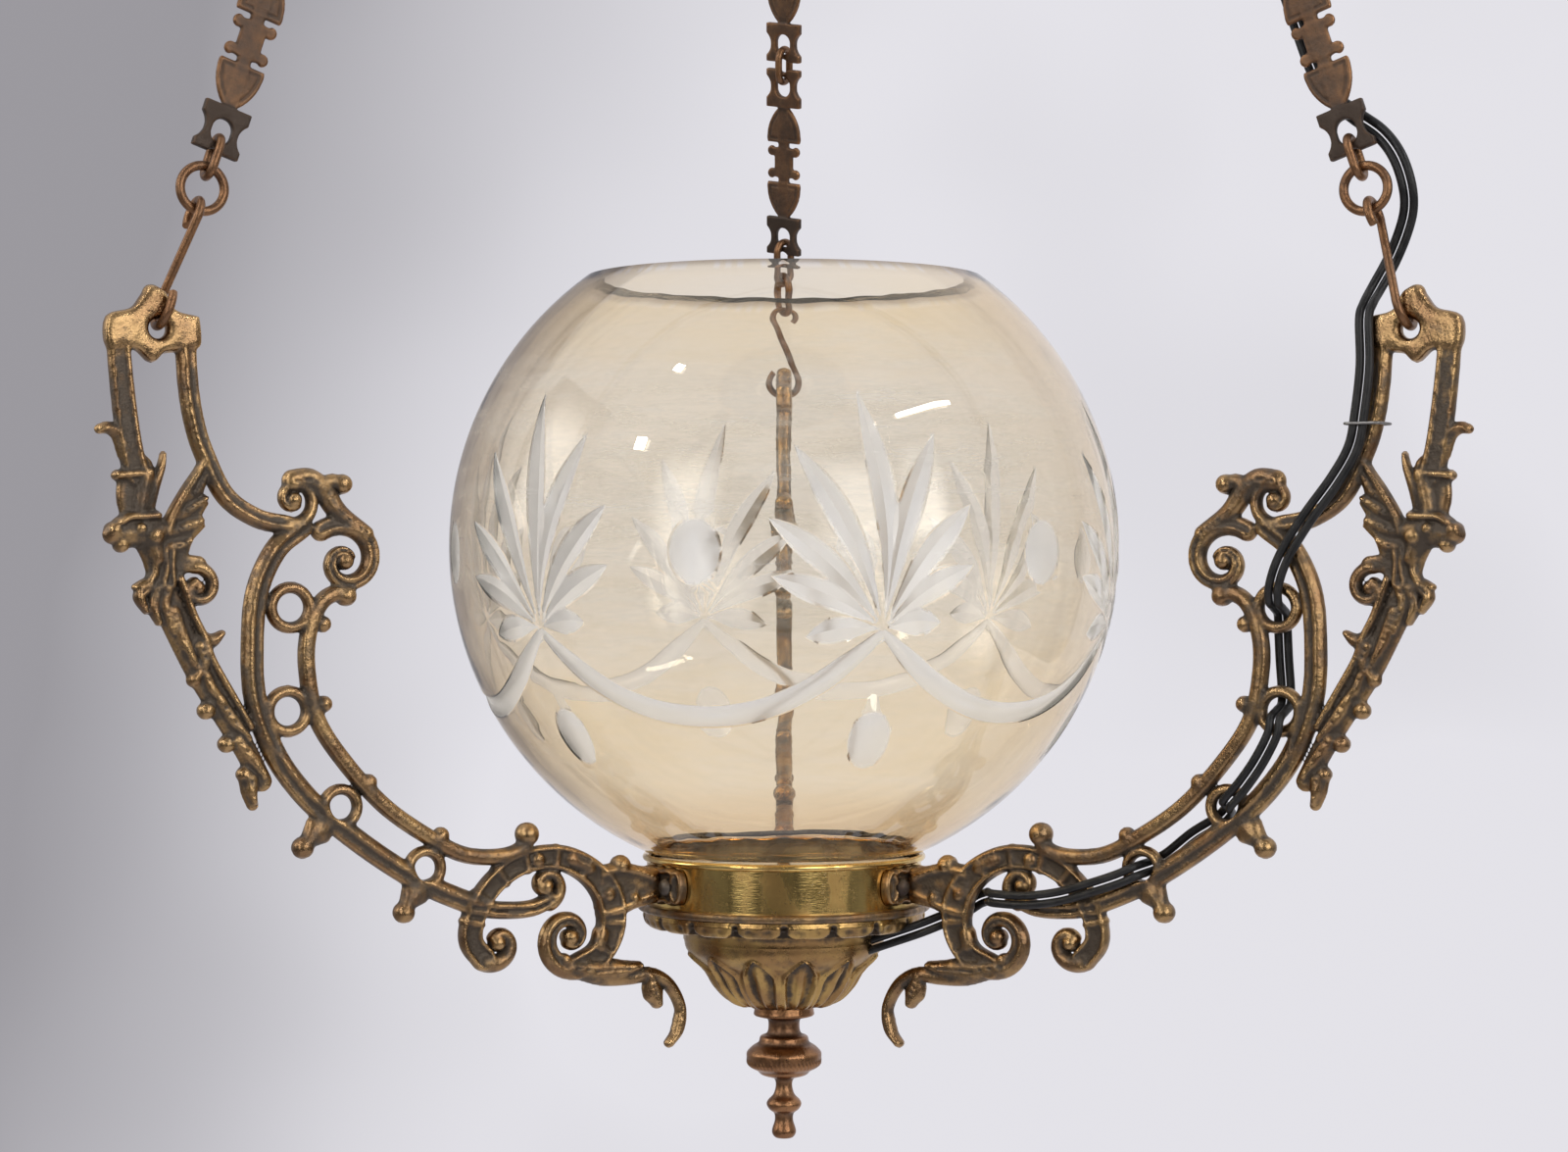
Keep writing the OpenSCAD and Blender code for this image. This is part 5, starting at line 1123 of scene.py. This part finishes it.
class LanternStage(bpy.types.PropertyGroup):
    room: bpy.props.FloatProperty(
        name="Room light", description="Level of the even light from the room",
        default=0.5, min=0.0, max=1.0)
    lamps: bpy.props.FloatProperty(
        name="Lamps", description="Share of the lamps' full power",
        default=1.0, min=0.0, max=3.0, subtype="FACTOR")


# ---------------------------------------------------------------- operators

class LANTERN_OT_finishes(bpy.types.Operator):
    """Make one procedural finish for each material slot of the record"""
    bl_idname = "lantern.finishes"
    bl_label = "Make the finishes"

    def execute(self, context):
        settings = context.scene.lantern_finishes
        specks = settings.speckle
        old_brass("cast_brass", (0.4, 0.255, 0.12), (0.24, 0.14, 0.072), (0.075, 0.056, 0.04),
                  0.25, 0.48, 0.35, specks)
        old_brass("yellow_brass", (0.48, 0.31, 0.11), (0.31, 0.18, 0.075), (0.06, 0.042, 0.028),
                  0.26, 0.46, 0.15, specks * 0.7)
        old_brass("copper_brown", (0.37, 0.19, 0.09), (0.25, 0.125, 0.062), (0.052, 0.034, 0.024),
                  0.28, 0.5, 0.25, specks * 0.8, 0.12)
        polished_brass()
        plain_metal("dark_screw", (0.16, 0.14, 0.12), (0.08, 0.06, 0.05), 0.4)
        plain_metal("plain_steel", (0.3, 0.29, 0.28), (0.18, 0.165, 0.15), 0.4)
        plain_metal("grey_tin", (0.1, 0.107, 0.12), (0.07, 0.07, 0.075), 0.35)
        smooth_stuff("porcelain", (0.84, 0.81, 0.74), (0.76, 0.73, 0.66), 0.25, 0.03, 3, 0.6)
        smooth_stuff("seat_ring", (0.32, 0.22, 0.14), (0.2, 0.13, 0.08), 0.85, 0.3, 0.7)
        smooth_stuff("black_wire", (0.012, 0.012, 0.013), (0.026, 0.025, 0.025), 0.33, 0.02, 1,
                     shine=0.28)
        amber_glass(settings.wash)
        return {"FINISHED"}


class LANTERN_OT_nodes(bpy.types.Operator):
    """Give every CAD node the finish of its material slot"""
    bl_idname = "lantern.nodes"
    bl_label = "Dress the CAD nodes"

    def execute(self, context):
        for part in frame["record"]["subparts"]:
            materials = NODES[part["node"]].data.materials
            materials.clear()
            materials.append(finish(part["material_slot"]))
        return {"FINISHED"}


class LANTERN_OT_arms(bpy.types.Operator):
    """Build the three openwork arms with their bracket wings"""
    bl_idname = "lantern.arms"
    bl_label = "Build the arms"

    def execute(self, context):
        plane, wings = arm_skin(), wing_castings()
        for side, azimuth in AZIMUTH.items():
            shape = Shape()
            for points, faces, hollow, edge in (plane, wings):
                shape.add(turn(points, azimuth), faces, hollow=hollow, edge=edge)
            shape.build(f"{side}_openwork_arm", "lantern", "cast_brass", finish("cast_brass"),
                        [f"{side}_arm"], smooth=60)
        return {"FINISHED"}


class LANTERN_OT_chains(bpy.types.Operator):
    """Build the flat fretted links of the three chains"""
    bl_idname = "lantern.chains"
    bl_label = "Build the plate links"

    def execute(self, context):
        points, faces, hollow, edge = plate_skin()
        for side, azimuth in AZIMUTH.items():
            upper = Shape()
            for i in range(PLATES):
                share = min(1.0, 0.53 + 0.18 * (PLATES - 1 - i))
                placed = on_chain(points, azimuth, PLATE_FOOT + i * PLATE_PITCH, share)
                if i:
                    upper.add(placed, faces, hollow=hollow, edge=edge)
                else:
                    # The lowest link's lower eye is made darker
                    darker_lower_eye = 0.4 * (points[:, 2] < -24.6)
                    Shape().add(placed, faces, hollow=hollow - darker_lower_eye, edge=edge - darker_lower_eye).build(
                        f"{side}_lowest_plate_link", f"{side}_plate", "copper_brown",
                        finish("copper_brown"), [f"{side}_plate"], smooth=60)
            upper.build(f"{side}_upper_plate_links", "lantern", "copper_brown",
                        finish("copper_brown"), [f"{side}_upper_plates"], smooth=60)
        return {"FINISHED"}


class LANTERN_OT_globe(bpy.types.Operator):
    """Build the cut-glass globe"""
    bl_idname = "lantern.globe"
    bl_label = "Build the globe"

    def execute(self, context):
        globe = globe_skin().build("cut_glass_globe", "globe", "globe_glass",
                                   finish("globe_glass"), ["globe"], smooth=11)
        weld(globe)
        return {"FINISHED"}


def weld(piece):
    """Joins the points of a mesh that lie together, to 2 micrometres."""
    bm = bmesh.new()
    bm.from_mesh(piece.data)
    bmesh.ops.remove_doubles(bm, verts=bm.verts, dist=2e-6)
    bmesh.ops.recalc_face_normals(bm, faces=bm.faces)
    bm.to_mesh(piece.data)
    bm.free()
    piece.data.set_sharp_from_angle(angle=math.radians(11))


class LANTERN_OT_turned(bpy.types.Operator):
    """Build the cup, the petal ring, the finial and the drip pan"""
    bl_idname = "lantern.turned"
    bl_label = "Build the turned pieces"

    def execute(self, context):
        def crimps(angle, r, z):
            return np.where(z > -106.3, 0.55 * np.cos(20 * angle) * (r > 43), 0.0) - 0.1

        def knurls(angle, r, z):
            band = np.clip((r - 13.0) / 0.5, 0, 1) * np.clip((-182.6 - z) / 0.5, 0, 1)
            return 0.22 * band * (np.sin(52 * angle + 1.6 * (z + 184)) - 1)

        for name, node, slot, body, outline, sides, swell in (
                ("cup_with_tongues", "cup", "yellow_brass", "lantern", cup_outline(), 432,
                 cup_swell),
                ("petals", "petal_ring", "yellow_brass", "lantern", petal_outline(), 432,
                 petal_swell),
                ("turned_finial", "finial", "copper_brown", "finial", finial_outline(), 312,
                 knurls),
                ("crimped_pan", "drip_pan", "grey_tin", "lantern", pan_outline(), 240, crimps)):
            Shape().lathe(outline, sides, swell).build(
                name, body, slot, finish(slot), [node], smooth=50)
        return {"FINISHED"}


class LANTERN_OT_wires(bpy.types.Operator):
    """Build the two black wires"""
    bl_idname = "lantern.wires"
    bl_label = "Build the wires"

    def execute(self, context):
        for name, node, side in (("black_wire_a", "wire_a", -1), ("black_wire_b", "wire_b", 1)):
            Shape().rod(wire_path(side), 1.5).build(
                name, "lantern", "black_wire", finish("black_wire"), [node], smooth=60)
        return {"FINISHED"}


class LANTERN_OT_stage(bpy.types.Operator):
    """Set up the backdrop, the lamps, the room light and the camera"""
    bl_idname = "lantern.stage"
    bl_label = "Set up the stage"

    def execute(self, context):
        scene = context.scene
        scene.view_settings.view_transform = "Standard"
        stage = context.scene.lantern_stage
        wall = backdrop()
        lamps = [area_lamp(name, place, size, power * stage.lamps) for name, place, size, power in (
            ("lamp above left", (-0.95, -0.68, 0.8), (0.09, 0.09), 3.5),
            ("lamp left", (-1.1, -0.84, -0.02), (0.1, 0.1), 2.5),
            ("tube right", (1.27, -0.8, 0.46), (0.7, 0.05), 5.0))]
        cards = [soft_card(name, place, size, glow * stage.lamps) for name, place, size, glow in (
            ("window left", (-1.13, -1.77, -0.4), (1.1, 1.7), 4.0),
            ("window right", (0.87, -1.91, -0.4), (1.3, 1.6), 4.0),
            ("narrow window", (1.57, -1.39, -0.35), (0.7, 1.6), 6.0),
            ("side window", (-2.0, 0.0, -0.2), (1.2, 1.6), 3.5))]
        sky(scene, stage.room)
        camera = bpy.data.cameras.new("camera")
        camera.lens = 71.8
        camera.sensor_width = 36.0
        camera.clip_end = 20.0
        eye = bpy.data.objects.new("camera", camera)
        eye.location = (0.0, -1.186, LEVEL * MM)
        eye.rotation_euler = (math.pi / 2, 0.0, 0.0)
        scene.collection.objects.link(eye)
        scene.camera = eye
        return {"FINISHED"}


def backdrop():
    """A pale wall that curves into the floor far below, seen by camera, mirror and glass rays,
    with a painted shadow that darkens its glow towards the left and upwards.
    Its back is clear to the camera, so that the lantern shows from behind too."""
    f = Finish("pale wall", Base_Color=(0.74, 0.735, 0.77, 1), Roughness=0.9)
    path = f.add("LightPath").outputs
    seen = f.math("MINIMUM", 1.0, f.math("ADD", path["Is Camera Ray"], f.math(
        "ADD", path["Is Glossy Ray"], path["Is Transmission Ray"])))
    across, _, up = f.add("SeparateXYZ", f.place).outputs
    # Painted shadow: the wall's glow darkens towards the left and upwards, with faint noise
    shade = f.math("ADD", f.ramp(f.math("SUBTRACT", across, f.math("MULTIPLY", up, 0.25)),
                                 -0.62, 0.1), f.ramp(f.noise(700, 2), 0.3, 0.7, -0.12, 0.12))
    glow = f.add("Emission", f.mix(shade, (0.33, 0.32, 0.345), (0.775, 0.765, 0.81)), 1.0)
    mixed = f.add("MixShader", seen, f.shader.outputs[0], glow.outputs[0])
    f.clear_for(f.math("MULTIPLY", path["Is Camera Ray"],
                       f.add("NewGeometry").outputs["Backfacing"]), mixed)
    a = np.linspace(0, math.pi / 2, 13)
    bend = np.column_stack([1.4 + 0.6 * np.sin(a), -2.2 + 0.6 * (1 - np.cos(a))])
    line = np.vstack([(-2.6, -2.2), bend, (2.0, 1.6)])
    x = np.linspace(-3.2, 3.2, 9)
    points = np.array([(u, y, z) for y, z in line for u in x]) / MM
    shape = Shape().add(points, quads(len(line), len(x)))
    mesh = bpy.data.meshes.new("backdrop")
    mesh.from_pydata((np.vstack(shape.points) * MM).tolist(), [], shape.faces)
    mesh.shade_smooth()
    mesh.materials.append(f.made)
    wall = bpy.data.objects.new("backdrop", mesh)
    bpy.context.scene.collection.objects.link(wall)
    return wall


def facing(thing, place):
    """Puts a lamp or a card at a place, turned to face the globe."""
    thing.location = place
    way = Vector((0, 0, -0.82)) - Vector(place)
    thing.rotation_euler = way.to_track_quat("-Z", "Y").to_euler()
    bpy.context.scene.collection.objects.link(thing)
    return thing


def area_lamp(name, place, size, power):
    """A rectangular lamp at a place, turned to face the globe."""
    data = bpy.data.lights.new(name, "AREA")
    data.shape = "RECTANGLE"
    data.size, data.size_y = size
    data.energy = power
    return facing(bpy.data.objects.new(name, data), place)


def soft_card(name, place, size, glow):
    """A glowing card that fades towards its edges, like a curtained window."""
    f = Finish(name)
    x, y, _ = f.add("SeparateXYZ", f.place).outputs
    fade = 1.0
    for value, length in ((x, size[0]), (y, size[1])):
        fade = f.math("MULTIPLY", fade, f.ramp(f.math("ABSOLUTE", value), 0.5 * length, 0.12 * length))
    light = f.add("Emission", (1, 0.99, 0.97, 1), f.math("MULTIPLY", fade, glow))
    f.clear_for(f.add("LightPath").outputs["Is Camera Ray"], light)
    mesh = bpy.data.meshes.new(name)
    w, h = size[0] / 2, size[1] / 2
    mesh.from_pydata([(-w, -h, 0), (-w, h, 0), (w, h, 0), (w, -h, 0)], [], [(0, 1, 2, 3)])
    mesh.materials.append(f.made)
    return facing(bpy.data.objects.new(name, mesh), place)


def sky(scene, level):
    """The room's light: bright from above, darker from below and from the camera's side."""
    world = bpy.data.worlds.new("room")
    scene.world = world
    world.use_nodes = True
    nodes, links = world.node_tree.nodes, world.node_tree.links
    way = nodes.new("ShaderNodeSeparateXYZ")
    links.new(nodes.new("ShaderNodeTexCoord").outputs["Generated"], way.inputs[0])
    grade = nodes.new("ShaderNodeMapRange")
    grade.interpolation_type = "SMOOTHSTEP"
    for socket, value in zip(grade.inputs[1:5], (-0.6, 0.8, 0.2 * level, 2.0 * level)):
        socket.default_value = value
    links.new(way.outputs[2], grade.inputs[0])
    side = nodes.new("ShaderNodeMapRange")
    side.interpolation_type = "SMOOTHSTEP"
    for socket, value in zip(side.inputs[1:5], (-0.9, 0.5, 0.3, 1.0)):
        socket.default_value = value
    links.new(way.outputs[1], side.inputs[0])
    product = nodes.new("ShaderNodeMath")
    product.operation = "MULTIPLY"
    links.new(grade.outputs[0], product.inputs[0])
    links.new(side.outputs[0], product.inputs[1])
    links.new(product.outputs[0], nodes["Background"].inputs["Strength"])
    nodes["Background"].inputs["Color"].default_value = (0.98, 0.98, 1.0, 1)


class LANTERN_PT_panel(bpy.types.Panel):
    """The add-on's panel in the sidebar"""
    bl_label = "Ceiling lantern"
    bl_space_type = "VIEW_3D"
    bl_region_type = "UI"
    bl_category = "Lantern"

    def draw(self, context):
        layout = self.layout
        for owner, names in ((context.scene.lantern_finishes, ("wash", "speckle")),
                             (context.scene.lantern_stage, ("room", "lamps"))):
            for name in names:
                layout.prop(owner, name)
        for operator in OPERATORS:
            layout.operator(operator.bl_idname)


OPERATORS = (LANTERN_OT_finishes, LANTERN_OT_nodes, LANTERN_OT_arms, LANTERN_OT_chains,
             LANTERN_OT_globe, LANTERN_OT_turned, LANTERN_OT_wires, LANTERN_OT_stage)
CLASSES = (LanternFinishes, LanternStage) + OPERATORS + (LANTERN_PT_panel,)


def register():
    for cls in CLASSES:
        bpy.utils.register_class(cls)
    bpy.types.Scene.lantern_finishes = bpy.props.PointerProperty(type=LanternFinishes)
    bpy.types.Scene.lantern_stage = bpy.props.PointerProperty(type=LanternStage)


def unregister():
    del bpy.types.Scene.lantern_stage
    del bpy.types.Scene.lantern_finishes
    for cls in reversed(CLASSES):
        bpy.utils.unregister_class(cls)


def main():
    register()
    for operator in OPERATORS:
        group, name = operator.bl_idname.split(".")
        getattr(getattr(bpy.ops, group), name)()


if __name__ == "__main__":
    main()
